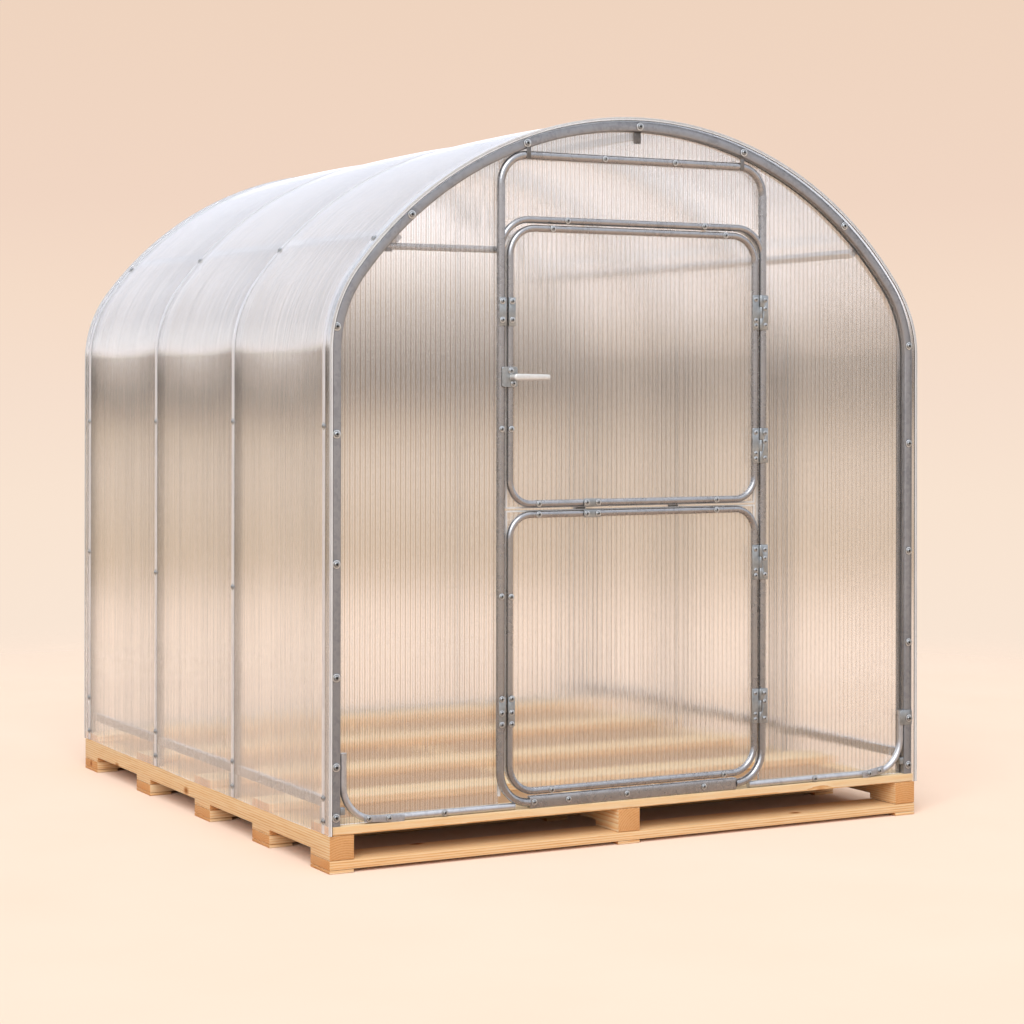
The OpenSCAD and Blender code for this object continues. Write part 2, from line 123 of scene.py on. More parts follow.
# ---------------------------------------------------------------- node trees

def linear(code):
    """Linear colour from an sRGB hex code."""
    out = []
    for k in (0, 2, 4):
        c = int(code.lstrip("#")[k:k + 2], 16) / 255.0
        out.append(c / 12.92 if c <= 0.04045 else ((c + 0.055) / 1.055) ** 2.4)
    return (out[0], out[1], out[2], 1.0)


def add(tree, kind, settings=None, **sockets):
    """One shader node: settings are its properties, sockets its values or the outputs that feed it."""
    made = tree.nodes.new(kind)
    for key, value in (settings or {}).items():
        if key == "stops":
            fill_ramp(made.color_ramp, value)
        else:
            setattr(made, key, value)
    for key, value in sockets.items():
        if key[0] == "i" and key[1:].isdigit():
            socket = made.inputs[int(key[1:])]
        else:
            socket = made.inputs[key.replace("_", " ")]
        if isinstance(value, bpy.types.NodeSocket):
            tree.links.new(value, socket)
        else:
            socket.default_value = value
    return made


def fill_ramp(ramp, stops):
    while len(ramp.elements) < len(stops):
        ramp.elements.new(1.0)
    for element, (place, colour) in zip(ramp.elements, stops):
        element.position = place
        element.color = colour if not isinstance(colour, str) else linear(colour)


def blank(name):
    material = bpy.data.materials.new(name)
    material.use_nodes = True
    tree = material.node_tree
    tree.nodes.clear()
    return material, tree


def finish_with(tree, shader, bump=None):
    add(tree, "ShaderNodeOutputMaterial", Surface=shader)


def position(tree, scale=(1.0, 1.0, 1.0)):
    """Place on the object in metres, stretched by scale, so that patterns keep real sizes."""
    here = add(tree, "ShaderNodeTexCoord").outputs["Object"]
    return add(tree, "ShaderNodeMapping", Vector=here, Scale=scale).outputs["Vector"]


# ---------------------------------------------------------------- materials

def galvanised_steel(name, pale, dull, rough, crown=None):
    """Hot-dip galvanised tube: dull grey zinc with soft spangle crystals and faint run marks; a crown
    colour, when given, is painted light on the tube above the spring line.
    """
    material, tree = blank(name)
    spangle_mm = 9.0
    crystals = add(tree, "ShaderNodeTexVoronoi", {"feature": "F1"},
                   Vector=position(tree), Scale=1000.0 / spangle_mm)
    tone = add(tree, "ShaderNodeSeparateColor", Color=crystals.outputs["Color"]).outputs["Red"]
    run_mm = 60.0
    runs = add(tree, "ShaderNodeTexNoise", Vector=position(tree, (1.0, 1.0, 0.35)),
               Scale=1000.0 / run_mm, Detail=4.0, Roughness=0.6).outputs["Fac"]
    both = add(tree, "ShaderNodeMix", {"data_type": "FLOAT"}, Factor=0.74, i2=tone, i3=runs)
    colour = add(tree, "ShaderNodeValToRGB",
                 {"stops": [(0.22, dull), (0.55, pale), (0.85, pale)]}, Fac=both.outputs[0])
    zinc = colour.outputs["Color"]
    # Painted light: above the spring line the colour is blended to the crown colour, near-white for
    # the hoops, as if lit from above under the roof.
    if crown:
        high = add(tree, "ShaderNodeMapRange", i1=spring_z - 60 * mm, i2=spring_z + 160 * mm,
                   Value=add(tree, "ShaderNodeSeparateXYZ",
                             Vector=position(tree)).outputs["Z"]).outputs["Result"]
        zinc = add(tree, "ShaderNodeMix", {"data_type": "RGBA"}, i0=high, i6=zinc,
                   i7=linear(crown)).outputs[2]
    gloss = add(tree, "ShaderNodeMapRange", Value=both.outputs[0],
                i3=rough + 0.08, i4=rough - 0.08)
    bump = add(tree, "ShaderNodeBump", Height=both.outputs[0], Strength=0.10, Distance=0.4 * mm)
    steel = add(tree, "ShaderNodeBsdfPrincipled", Base_Color=zinc,
                Metallic=0.92, Roughness=gloss.outputs["Result"], Normal=bump.outputs["Normal"])
    finish_with(tree, steel.outputs["BSDF"])
    return material


def bright_metal(name, pale, dark, rough, metallic, grain_mm, stretch):
    """Zinc-plated or bare aluminium part: brighter than the tubes, with a fine cloudy grain."""
    material, tree = blank(name)
    cloud = add(tree, "ShaderNodeTexNoise", Vector=position(tree, stretch),
                Scale=1000.0 / grain_mm, Detail=5.0, Roughness=0.55).outputs["Fac"]
    colour = add(tree, "ShaderNodeValToRGB", {"stops": [(0.3, dark), (0.65, pale)]}, Fac=cloud)
    gloss = add(tree, "ShaderNodeMapRange", Value=cloud, i3=rough + 0.07, i4=rough - 0.07)
    bump = add(tree, "ShaderNodeBump", Height=cloud, Strength=0.12, Distance=0.2 * mm)
    metal = add(tree, "ShaderNodeBsdfPrincipled", Base_Color=colour.outputs["Color"],
                Metallic=metallic, Roughness=gloss.outputs["Result"],
                Normal=bump.outputs["Normal"])
    finish_with(tree, metal.outputs["BSDF"])
    return material


def dark_recess(name):
    """Near-black for a screw: painted shade in its socket and in the thin ring under its head, and the
    colour of the black rubber ring under the washer.
    """
    material, tree = blank(name)
    dark_mottle = add(tree, "ShaderNodeTexNoise", Vector=position(tree), Scale=900.0).outputs["Fac"]
    colour = add(tree, "ShaderNodeValToRGB",
                 {"stops": [(0.3, "#1C1B1B"), (0.7, "#3A3836")]}, Fac=dark_mottle)
    metal = add(tree, "ShaderNodeBsdfPrincipled", Base_Color=colour.outputs["Color"],
                Metallic=0.4, Roughness=0.6)
    finish_with(tree, metal.outputs["BSDF"])
    return material


def shade_line_rubber(name):
    """Black rubber strip on the cover's cut edge, beside the arch: painted shade for the dark line
    there, with a dull sheen and a dusty mottle.
    """
    material, tree = blank(name)
    dust_mm = 6.0
    dust = add(tree, "ShaderNodeTexNoise", Vector=position(tree), Scale=1000.0 / dust_mm,
               Detail=3.0).outputs["Fac"]
    colour = add(tree, "ShaderNodeValToRGB",
                 {"stops": [(0.35, "#2A2725"), (0.75, "#47423E")]}, Fac=dust)
    lip = add(tree, "ShaderNodeBsdfPrincipled", Base_Color=colour.outputs["Color"],
              Roughness=0.7)
    finish_with(tree, lip.outputs["BSDF"])
    return material


def under_deck_shade_board(name):
    """Brown hardboard under the deck boards: a sheet that stands in for the shade beneath the deck, so
    painted shade; pressed fibres, smooth and slightly darker in flecks.
    """
    material, tree = blank(name)
    fleck_mm = 3.0
    fleck = add(tree, "ShaderNodeTexNoise", Vector=position(tree), Scale=1000.0 / fleck_mm,
                Detail=5.0, Roughness=0.7).outputs["Fac"]
    colour = add(tree, "ShaderNodeValToRGB",
                 {"stops": [(0.3, "#B68B62"), (0.7, "#C99F74")]}, Fac=fleck)
    bump = add(tree, "ShaderNodeBump", Height=fleck, Strength=0.1, Distance=0.2 * mm)
    board = add(tree, "ShaderNodeBsdfPrincipled", Base_Color=colour.outputs["Color"],
                Roughness=0.6, Normal=bump.outputs["Normal"])
    finish_with(tree, board.outputs["BSDF"])
    return material


def twin_wall(name, across, tint, rough):
    """Extruded clear polycarbonate: glossy skins that blur what is behind them sideways,
    with a thin darker line where each flute wall meets the skin."""
    material, tree = blank(name)
    only = [0.0, 0.0, 0.0]
    only[across] = 1.0
    side = position(tree, tuple(only))
    # the drawing lines of the extrusion, finer than they can show: they only spread the light
    ripple_mm = 2.6
    ripple = add(tree, "ShaderNodeTexNoise", Vector=side, Scale=1000.0 / ripple_mm,
                 Detail=0.0).outputs["Fac"]
    wave = add(tree, "ShaderNodeTexWave",
               {"wave_type": "BANDS", "bands_direction": "XYZ"[across], "wave_profile": "SIN"},
               Vector=side, Scale=math.pi / (10.0 * flute_pitch)).outputs["Fac"]
    height = add(tree, "ShaderNodeMix", {"data_type": "FLOAT"}, Factor=0.93, i2=wave, i3=ripple)
    bump = add(tree, "ShaderNodeBump", Height=height.outputs[0], Strength=1.0,
               Distance=0.36 * mm)
    inside = add(tree, "ShaderNodeNewGeometry").outputs["Backfacing"]
    outer_wave = add(tree, "ShaderNodeMath", {"operation": "MAXIMUM"}, i0=wave, i1=inside)
    lines = add(tree, "ShaderNodeValToRGB",
                {"stops": [(0.02, tint[0]), (0.16, tint[1])]}, Fac=outer_wave.outputs["Value"])
    clear = add(tree, "ShaderNodeBsdfPrincipled", Base_Color=lines.outputs["Color"],
                Roughness=rough, IOR=1.5, Transmission_Weight=0.95,
                Coat_Weight=1.0, Coat_Roughness=0.08, Normal=bump.outputs["Normal"])
    path = add(tree, "ShaderNodeLightPath")
    soft = add(tree, "ShaderNodeMath", {"operation": "MAXIMUM"},
               i0=path.outputs["Is Shadow Ray"], i1=path.outputs["Is Diffuse Ray"])
    open_air = add(tree, "ShaderNodeBsdfTransparent")
    mixed = add(tree, "ShaderNodeMixShader", Fac=soft.outputs["Value"],
                i1=clear.outputs["BSDF"], i2=open_air.outputs["BSDF"])
    finish_with(tree, mixed.outputs["Shader"])
    return material


def flute_wall(name, share, pale, dark):
    """Thin webs inside the sheet, seen edge-on as fine pale and dark lines."""
    material, tree = blank(name)
    speck = add(tree, "ShaderNodeTexNoise", Vector=position(tree, (1.0, 1.0, 0.1)),
                Scale=90.0, Detail=3.0).outputs["Fac"]
    colour = add(tree, "ShaderNodeValToRGB", {"stops": [(0.35, dark), (0.65, pale)]}, Fac=speck)
    film = add(tree, "ShaderNodeBsdfPrincipled", Base_Color=colour.outputs["Color"],
               Roughness=0.45)
    gap = add(tree, "ShaderNodeBsdfTransparent")
    mixed = add(tree, "ShaderNodeMixShader", Fac=share, i1=gap.outputs["BSDF"],
                i2=film.outputs["BSDF"])
    finish_with(tree, mixed.outputs["Shader"])
    return material


def sawn_pine(name, along, painted_top_light):
    """Sawn pine: straight fibres along the board, growth rings on the ends, a few brown knots; upward
    faces are lightened by the given share as painted top light.
    """
    material, tree = blank(name)
    ring_mm = 7.0
    knot_along, knot_across = 0.42, 0.085
    long_scale = [1.0, 1.0, 1.0]
    long_scale[along] = 0.045
    board = add(tree, "ShaderNodeAttribute", {"attribute_name": "board"})
    shifted = add(tree, "ShaderNodeVectorMath", {"operation": "ADD"},
                  i0=add(tree, "ShaderNodeTexCoord").outputs["Object"],
                  i1=board.outputs["Vector"]).outputs["Vector"]

    def stretched(scale):
        return add(tree, "ShaderNodeMapping", Vector=shifted, Scale=scale).outputs["Vector"]

    cell = [1.0 / knot_across] * 3
    cell[along] = 1.0 / knot_along
    cells = stretched(tuple(cell))
    knots = add(tree, "ShaderNodeTexVoronoi", {"feature": "F1"}, Vector=cells, Scale=1.0)
    apart = add(tree, "ShaderNodeVectorMath", {"operation": "SUBTRACT"},
                i0=cells, i1=knots.outputs["Position"])
    back = [knot_across] * 3
    back[along] = knot_along * 0.6
    metric = add(tree, "ShaderNodeVectorMath", {"operation": "MULTIPLY"},
                 i0=apart.outputs["Vector"], i1=tuple(back))
    away = add(tree, "ShaderNodeVectorMath", {"operation": "LENGTH"},
               i0=metric.outputs["Vector"]).outputs["Value"]
    rare = add(tree, "ShaderNodeSeparateColor", Color=knots.outputs["Color"]).outputs["Green"]
    chosen = add(tree, "ShaderNodeMath", {"operation": "GREATER_THAN"}, i0=rare, i1=0.5)
    near = add(tree, "ShaderNodeMapRange", {"interpolation_type": "SMOOTHSTEP"},
               Value=away, i1=5 * mm, i2=19 * mm, i3=1.0, i4=0.0)
    knot = add(tree, "ShaderNodeMath", {"operation": "MULTIPLY"},
               i0=near.outputs["Result"], i1=chosen.outputs["Value"]).outputs["Value"]
    halo = add(tree, "ShaderNodeMapRange", {"interpolation_type": "SMOOTHSTEP"},
               Value=away, i1=8 * mm, i2=42 * mm, i3=1.0, i4=0.0)
    bend = add(tree, "ShaderNodeMath", {"operation": "MULTIPLY"},
               i0=halo.outputs["Result"], i1=chosen.outputs["Value"]).outputs["Value"]

    wander = add(tree, "ShaderNodeTexNoise", Vector=stretched(tuple(long_scale)), Scale=14.0,
                 Detail=2.0).outputs["Fac"]
    swirl = add(tree, "ShaderNodeMath", {"operation": "MULTIPLY_ADD"},
                i0=bend, i1=2.6, i2=add(tree, "ShaderNodeMath", {"operation": "MULTIPLY"},
                                        i0=wander, i1=5.0).outputs["Value"])
    rings = add(tree, "ShaderNodeTexWave",
                {"wave_type": "RINGS", "rings_direction": "XYZ"[along], "wave_profile": "SAW"},
                Vector=stretched(tuple(long_scale)),
                Scale=math.pi / (10.0 * ring_mm * mm),
                Distortion=1.2, Detail=2.0, Detail_Scale=6.0,
                Phase_Offset=swirl.outputs["Value"]).outputs["Fac"]
    fibre_scale = [1.0, 1.0, 1.0]
    fibre_scale[along] = 0.03
    fibres = add(tree, "ShaderNodeTexNoise", Vector=stretched(tuple(fibre_scale)),
                 Scale=1000.0 / 3.5, Detail=4.0, Roughness=0.65).outputs["Fac"]
    figure = add(tree, "ShaderNodeMix", {"data_type": "FLOAT"}, Factor=0.55,
                 i2=rings, i3=fibres).outputs[0]
    grain = add(tree, "ShaderNodeValToRGB",
                {"stops": [(0.20, "#D9A268"), (0.40, "#F3CC98"), (0.60, "#FBE0B6"),
                           (0.85, "#FEEDD0")]}, Fac=figure)
    patch = add(tree, "ShaderNodeTexNoise", Vector=stretched(tuple(long_scale)), Scale=7.0,
                Detail=2.0).outputs["Fac"]
    warm = add(tree, "ShaderNodeMix", {"data_type": "RGBA", "blend_type": "MULTIPLY"},
               i0=add(tree, "ShaderNodeMapRange", Value=patch, i1=0.35, i2=0.7,
                      i3=0.0, i4=0.55).outputs["Result"],
               i6=grain.outputs["Color"], i7=linear("#F8E2C4"))
    heart = add(tree, "ShaderNodeValToRGB",
                {"stops": [(0.0, "#7C4722"), (0.25, "#A2652F"), (0.6, "#C98A4C")]},
                Fac=add(tree, "ShaderNodeMapRange", Value=away, i1=0.0,
                        i2=20 * mm).outputs["Result"])
    with_knots = add(tree, "ShaderNodeMix", {"data_type": "RGBA"}, i0=knot,
                     i6=warm.outputs[2], i7=heart.outputs["Color"])
    facing = add(tree, "ShaderNodeSeparateXYZ",
                 Vector=add(tree, "ShaderNodeTexCoord").outputs["Normal"]).outputs["XYZ"[along]]
    on_end = add(tree, "ShaderNodeMath", {"operation": "GREATER_THAN"},
                 i0=add(tree, "ShaderNodeMath", {"operation": "ABSOLUTE"},
                        i0=facing).outputs["Value"], i1=0.7)
    with_ends = add(tree, "ShaderNodeMix", {"data_type": "RGBA", "blend_type": "MULTIPLY"},
                    i0=on_end.outputs["Value"], i6=with_knots.outputs[2], i7=linear("#E9CEB4"))
    # Painted light: faces that look up are screened towards orange-pink, lightening the board tops as
    # if lit from above.
    upward = add(tree, "ShaderNodeSeparateXYZ",
                 Vector=add(tree, "ShaderNodeTexCoord").outputs["Normal"]).outputs["Z"]
    on_top = add(tree, "ShaderNodeMapRange", Value=upward, i1=0.6, i2=0.9, i4=painted_top_light)
    top_lit_colour = add(tree, "ShaderNodeMix", {"data_type": "RGBA", "blend_type": "SCREEN"},
                   i0=on_top.outputs["Result"], i6=with_ends.outputs[2], i7=linear("#FFA680"))
    bump = add(tree, "ShaderNodeBump", Height=figure, Strength=0.35, Distance=0.5 * mm)
    wood = add(tree, "ShaderNodeBsdfPrincipled", Base_Color=top_lit_colour.outputs[2],
               Roughness=0.72, Specular_IOR_Level=0.25, Normal=bump.outputs["Normal"])
    finish_with(tree, wood.outputs["BSDF"])
    return material


# ---------------------------------------------------------------- mesh making

def piece(name, mesh, finish, body="frame", smooth_angle=None):
    """A mesh object that rides on a body; smooth_angle in degrees rounds the shading."""
    data = bpy.data.meshes.new(name)
    bmesh.ops.recalc_face_normals(mesh, faces=mesh.faces)
    mesh.to_mesh(data)
    mesh.free()
    made = bpy.data.objects.new(name, data)
    bpy.context.scene.collection.objects.link(made)
    finishes = finish if isinstance(finish, (list, tuple)) else [finish]
    for one in finishes:
        data.materials.append(one)
    if smooth_angle is not None:
        data.shade_smooth()
        data.set_sharp_from_angle(angle=math.radians(smooth_angle))
    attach(made, body)
    return made


def slab(mesh, low, high):
    """Adds a box from its two corners."""
    x0, y0, z0 = low
    x1, y1, z1 = high
    spots = [(x0, y0, z0), (x1, y0, z0), (x1, y1, z0), (x0, y1, z0),
             (x0, y0, z1), (x1, y0, z1), (x1, y1, z1), (x0, y1, z1)]
    v = [mesh.verts.new(p) for p in spots]
    for ids in ((0, 3, 2, 1), (4, 5, 6, 7), (0, 1, 5, 4), (1, 2, 6, 5), (2, 3, 7, 6), (3, 0, 4, 7)):
        mesh.faces.new([v[i] for i in ids])
    return v


def turned(mesh, profile, foot, axis, sides, slot=0):
    """Adds a body of revolution: profile is (radius, height) pairs from the foot along the axis."""
    out = Vector(axis).normalized()
    side = out.orthogonal().normalized()
    up = out.cross(side)
    rings = []
    for radius, height in profile:
        centre = Vector(foot) + out * height
        if radius <= 0:
            rings.append([mesh.verts.new(centre)])
            continue
        ring = []
        for k in range(sides):
            a = 2 * math.pi * k / sides
            ring.append(mesh.verts.new(centre + side * radius * math.cos(a)
                                       + up * radius * math.sin(a)))
        rings.append(ring)
    for low, high in zip(rings, rings[1:]):
        for k in range(sides):
            n = (k + 1) % sides
            if len(low) == 1 and len(high) == 1:
                continue
            if len(low) == 1:
                face = mesh.faces.new((low[0], high[k], high[n]))
            elif len(high) == 1:
                face = mesh.faces.new((low[k], low[n], high[0]))
            else:
                face = mesh.faces.new((low[k], low[n], high[n], high[k]))
            face.material_index = slot
    return rings


def swept(mesh, rails, closed_section=True, closed_path=False):
    """Joins a list of sections, each a list of points, into one skin."""
    rows = [[mesh.verts.new(p) for p in row] for row in rails]
    count = len(rows[0])
    pairs = list(zip(rows, rows[1:]))
    if closed_path:
        pairs.append((rows[-1], rows[0]))
    for low, high in pairs:
        for k in range(count if closed_section else count - 1):
            n = (k + 1) % count
            mesh.faces.new((low[k], low[n], high[n], high[k]))
    if closed_section and not closed_path:
        mesh.faces.new(list(reversed(rows[0])))
        mesh.faces.new(rows[-1])
    return rows


def arch_line(out, low_z, leg=10, shoulder=22, crown=44):
    """Points and outward directions round the hoop's outer line, grown outwards by out."""
    line = []
    for k in range(leg):
        z = low_z + (spring_z - low_z) * k / leg
        line.append((Vector((-half_w - out, 0, z)), Vector((-1, 0, 0))))
    for k in range(shoulder):
        a = math.pi - join_angle * k / shoulder
        n = Vector((math.cos(a), 0, math.sin(a)))
        line.append((Vector((-shoulder_x, 0, spring_z)) + n * (shoulder_r + out), n))
    for k in range(crown // 2 + 1):
        a = math.pi - join_angle - (math.pi / 2 - join_angle) * k / (crown // 2)
        n = Vector((math.cos(a), 0, math.sin(a)))
        line.append((Vector((0, 0, crown_mid_z)) + n * (crown_r + out), n))
    right = [(Vector((-p.x, 0, p.z)), Vector((-n.x, 0, n.z))) for p, n in reversed(line[:-1])]
    return line + right


# ---------------------------------------------------------------- cover sheet

pinch = 4.6 * mm


def bay_share(y):
    """0 at a hoop and 1 in the middle of a bay, where the sheet is free."""
    edges = [arch_face_y] + hoop_ys + [arch_back_y]
    spans = [(a, b) for a, b in zip(hoop_ys, hoop_ys[1:]) if a <= y <= b]
    if not spans:
        return 0.0
    a, b = spans[0]
    return max(math.sin(math.pi * (y - a) / (b - a)), 0.0) ** 0.8


def relax(p):
    """How much the free sheet cuts the shoulder bend: it starts to curve below the steel."""
    start, end = spring_z - 120 * mm, spring_z + 330 * mm
    if p.z <= start or p.z >= end:
        return 0.0
    return math.sin(math.pi * (p.z - start) / (end - start)) ** 2


def cover_drop(p, y):
    """How far the outer skin lies under its widest line at a place on the cover."""
    free = bay_share(y)
    past_end = max(y - hoop_ys[-1], hoop_ys[0] - y, 0.0)
    flare = min(max((past_end - 14 * mm) / (14 * mm), 0.0), 1.0)
    return pinch * (1.0 - free) * (1.0 - flare) + 8.0 * mm * relax(p) * free


def overhang(k, count, front):
    """How far the sheet's hand-trimmed edge stands past the gable at a step round the arch."""
    turn = 2 * math.pi * k / (count - 1)
    reach = 10.5 * mm if front else 2.9 * mm
    return reach * (1.0 + 0.16 * math.sin(2.3 * turn + 0.6) + 0.10 * math.sin(5.1 * turn))


def cover_rows():
    """Y places of the cover mesh, closer together beside each hoop."""
    ys = {cover_low.y, cover_high.y}
    for past in (24 * mm, 38 * mm):
        ys.update((hoop_ys[0] - past, hoop_ys[-1] + past))
    for a, b in zip(hoop_ys, hoop_ys[1:]):
        steps = 14
        for k in range(steps + 1):
            ys.add(a + (b - a) * k / steps)
    return sorted(ys)


def make_cover(sheet, web, edge, shade_line, skin_edge):
    ys = cover_rows()
    line = arch_line(0.0, cover_low.z)
    count = len(line)
    front_reach = [overhang(k, count, True) for k in range(count)]
    back_reach = [overhang(k, count, False) for k in range(count)]
    mesh = bmesh.new()
    outer, inner = [], []
    for y in ys:
        outer_row, inner_row = [], []
        for k, (p, n) in enumerate(line):
            place = y
            if y == ys[0]:
                place -= front_reach[k]
            if y == ys[-1]:
                place += back_reach[k]
            across = Vector((0, place, 0))
            sag = 8.0 * mm * relax(p) * bay_share(y)
            outer_row.append(mesh.verts.new(p + n * (cover_t - cover_drop(p, y)) + across))
            inner_row.append(mesh.verts.new(p + n * (0.3 * mm - sag) + across))
        outer.append(outer_row)
        inner.append(inner_row)
    for rows in (outer, inner):
        for low, high in zip(rows, rows[1:]):
            for k in range(len(line) - 1):
                mesh.faces.new((low[k], low[k + 1], high[k + 1], high[k]))
    for a, b in ((outer[0], inner[0]), (outer[-1], inner[-1])):
        for k in range(len(line) - 1):
            mesh.faces.new((a[k], a[k + 1], b[k + 1], b[k]))
    for k in (0, len(line) - 1):
        for j in range(len(ys) - 1):
            mesh.faces.new((outer[j][k], outer[j + 1][k], inner[j + 1][k], inner[j][k]))
    cover = piece("cover_twin_wall", mesh, sheet, smooth_angle=40)
    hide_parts("cover_sheet")

    webs = bmesh.new()
    coarse = arch_line(0.0, cover_low.z + 1 * mm, 4, 10, 20)
    y = cover_low.y + flute_pitch
    while y < cover_high.y - flute_pitch / 2:
        low = [webs.verts.new(p + n * (skin - 8.0 * mm * relax(p) * bay_share(y))
                              + Vector((0, y, 0))) for p, n in coarse]
        high = [webs.verts.new(p + n * (cover_t - cover_drop(p, y) - skin) + Vector((0, y, 0)))
                for p, n in coarse]
        for k in range(len(coarse) - 1):
            webs.faces.new((low[k], low[k + 1], high[k + 1], high[k]))
        y += flute_pitch
    made = piece("cover_flute_walls", webs, web, smooth_angle=60)

    ends = bmesh.new()
    for y, way, reach in ((cover_low.y, 1.0, front_reach), (cover_high.y, -1.0, back_reach)):
        # Three bands across the cut edge; slot 1, the black one nearest the arch, is painted shade.
        for near, wide, back, deep, slot in ((0.1 * mm, 1.4 * mm, 0.4 * mm, 2 * mm, 1),
                                             (1.6 * mm, 3.6 * mm, -0.5 * mm, 2.2 * mm, 0),
                                             (5.4 * mm, 6.1 * mm, -0.3 * mm, 2.0 * mm, 2)):
            rails = []
            for (p, n), past in zip(line, reach):
                a, b = p + n * near, p + n * (near + wide)
                y0 = y + way * (back - past)
                rails.append([a + Vector((0, y0 + way * 1 * mm, 0)),
                              a + n * 0.6 * mm + Vector((0, y0, 0)),
                              b - n * 0.6 * mm + Vector((0, y0, 0)),
                              b + Vector((0, y0 + way * 1 * mm, 0)),
                              b + Vector((0, y0 + way * deep, 0)),
                              a + Vector((0, y0 + way * deep, 0))])
            first = len(ends.faces)
            swept(ends, rails)
            ends.faces.ensure_lookup_table()
            for face in ends.faces[first:]:
                face.material_index = slot
    made = piece("cover_end_lips", ends, [edge, shade_line, skin_edge], smooth_angle=40)


def make_cover_strips(metal):
    """Pressed strips over each hoop, with rounded edges and a low middle where the screws sit."""
    half = (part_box("hoop_1")[1].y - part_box("hoop_1")[0].y) / 2
    low_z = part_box("cover_strips")[0].z
    line = arch_line(cover_t - pinch, low_z)
    mesh = bmesh.new()
    for y in hoop_ys:
        rails = []
        for p, n in line:
            shape = [(-half, 0.0), (-half, 1.0 * mm), (-half * 0.7, 1.7 * mm), (0.0, 1.3 * mm),
                     (half * 0.7, 1.7 * mm), (half, 1.0 * mm), (half, 0.0)]
            rails.append([p + n * h + Vector((0, y + w, 0)) for w, h in shape])
        swept(mesh, rails)
    made = piece("hoop_cover_strips", mesh, metal, smooth_angle=35)
    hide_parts("cover_strips")


# ---------------------------------------------------------------- gable and leaf sheets

def crossings(tree, x, y, low, high):
    """Heights at which an upright line at x, y goes in and out of a sheet."""
    found = []
    z = low - 0.05
    while z < high + 0.05 and len(found) < 12:
        hit = tree.ray_cast(Vector((x, y, z)), Vector((0, 0, 1)), high + 0.1 - z)
        if hit[0] is None:
            break
        if not found or hit[0].z - found[-1] > 0.2 * mm:
            found.append(hit[0].z)
        z = hit[0].z + 0.1 * mm
    return found


def make_flute_walls(node, body, web):
    """Upright webs inside a flat sheet, at the flute pitch, wherever the sheet is solid."""
    source = nodes[node].data
    tree = BVHTree.FromPolygons([v.co for v in source.vertices],
                                [p.vertices[:] for p in source.polygons])
    low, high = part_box(node)
    middle = (low.y + high.y) / 2
    mesh = bmesh.new()
    x = low.x + flute_pitch * 0.6
    while x < high.x - 2 * mm:
        marks = crossings(tree, x, middle, low.z, high.z)
        for a, b in zip(marks[::2], marks[1::2]):
            spots = [(x, low.y + skin, a + 1 * mm), (x, high.y - skin, a + 1 * mm),
                     (x, high.y - skin, b - 1 * mm), (x, low.y + skin, b - 1 * mm)]
            mesh.faces.new([mesh.verts.new(p) for p in spots])
        x += flute_pitch
    made = piece(node + "_flute_walls", mesh, web, body)


# ---------------------------------------------------------------- screws

def screw(mesh, foot, axis, size=1.0, washer=True):
    """Pan-head screw with a six-sided socket, on a steel washer with a rubber ring under it."""
    w = 13.2 * mm * size
    r = 8.0 * mm * size
    h = 3.2 * mm * size
    base = 0.0
    if washer:
        turned(mesh, [(0, 0), (w, 0), (w, 0.8 * mm), (0, 0.8 * mm)], foot, axis, 18, 1)
        turned(mesh, [(0, 0.8 * mm), (w * 0.94, 0.8 * mm), (w * 0.94, 1.3 * mm),
                      (w * 0.86, 1.7 * mm), (w * 0.66, 1.8 * mm), (0, 1.8 * mm)],
               foot, axis, 18)
        # The thin near-black ring under the head is painted shade.
        turned(mesh, [(0, 1.8 * mm), (r * 1.08, 1.8 * mm), (r * 1.08, 2.1 * mm), (0, 2.1 * mm)],
               foot, axis, 14, 1)
        base = 2.1 * mm
    turned(mesh, [(0, base), (r, base), (r, base + h * 0.45), (r * 0.86, base + h * 0.8),
                  (r * 0.66, base + h), (r * 0.46, base + h)], foot, axis, 14, 2)
    # The six-sided socket is near-black: painted shade in the hole.
    turned(mesh, [(r * 0.47, base + h * 0.98), (r * 0.42, base + h * 0.3), (0, base + h * 0.3)],
           foot, axis, 6, 1)


def make_screws(name, places, body, finishes, size=1.0, washer=True):
    mesh = bmesh.new()
    for foot, axis in places:
        screw(mesh, foot, axis, size, washer)
    made = piece(name, mesh, finishes, body, smooth_angle=50)
    return made


# ---------------------------------------------------------------- pallet boards

def make_boards(node, along, finish, seed):
    """Copies the node's boards with eased edges; each board gets its own cut of the log."""
    rng = random.Random(seed)
    mesh = bmesh.new()
    mesh.from_mesh(nodes[node].data)
    bmesh.ops.remove_doubles(mesh, verts=mesh.verts, dist=0.05 * mm)
    bmesh.ops.dissolve_limit(mesh, angle_limit=math.radians(1.0), verts=mesh.verts,
                             edges=mesh.edges)
    bmesh.ops.bevel(mesh, geom=list(mesh.edges), offset=1.8 * mm, segments=2, profile=0.6,
                    affect="EDGES")
    low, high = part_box(node)
    middle_z = (low.z + high.z) / 2
    for v in mesh.verts:
        v.co.z += joint_gap if v.co.z < middle_z else -joint_gap
    layer = mesh.verts.layers.float_vector.new("board")
    left = set(mesh.verts)
    while left:
        seed_vert = next(iter(left))
        group, queue = {seed_vert}, [seed_vert]
        while queue:
            here = queue.pop()
            for e in here.link_edges:
                other = e.other_vert(here)
                if other not in group:
                    group.add(other)
                    queue.append(other)
        left -= group
        middle = sum((v.co for v in group), Vector()) / len(group)
        cut = -middle
        for axis in range(3):
            if axis == along:
                cut[axis] = rng.uniform(-3.0, 3.0)
            else:
                cut[axis] += rng.uniform(-0.11, 0.11)
        for v in group:
            v[layer] = cut
    made = piece(node + "_pine", mesh, finish, smooth_angle=30)
    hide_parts(node)
    return made


# ---------------------------------------------------------------- steel details

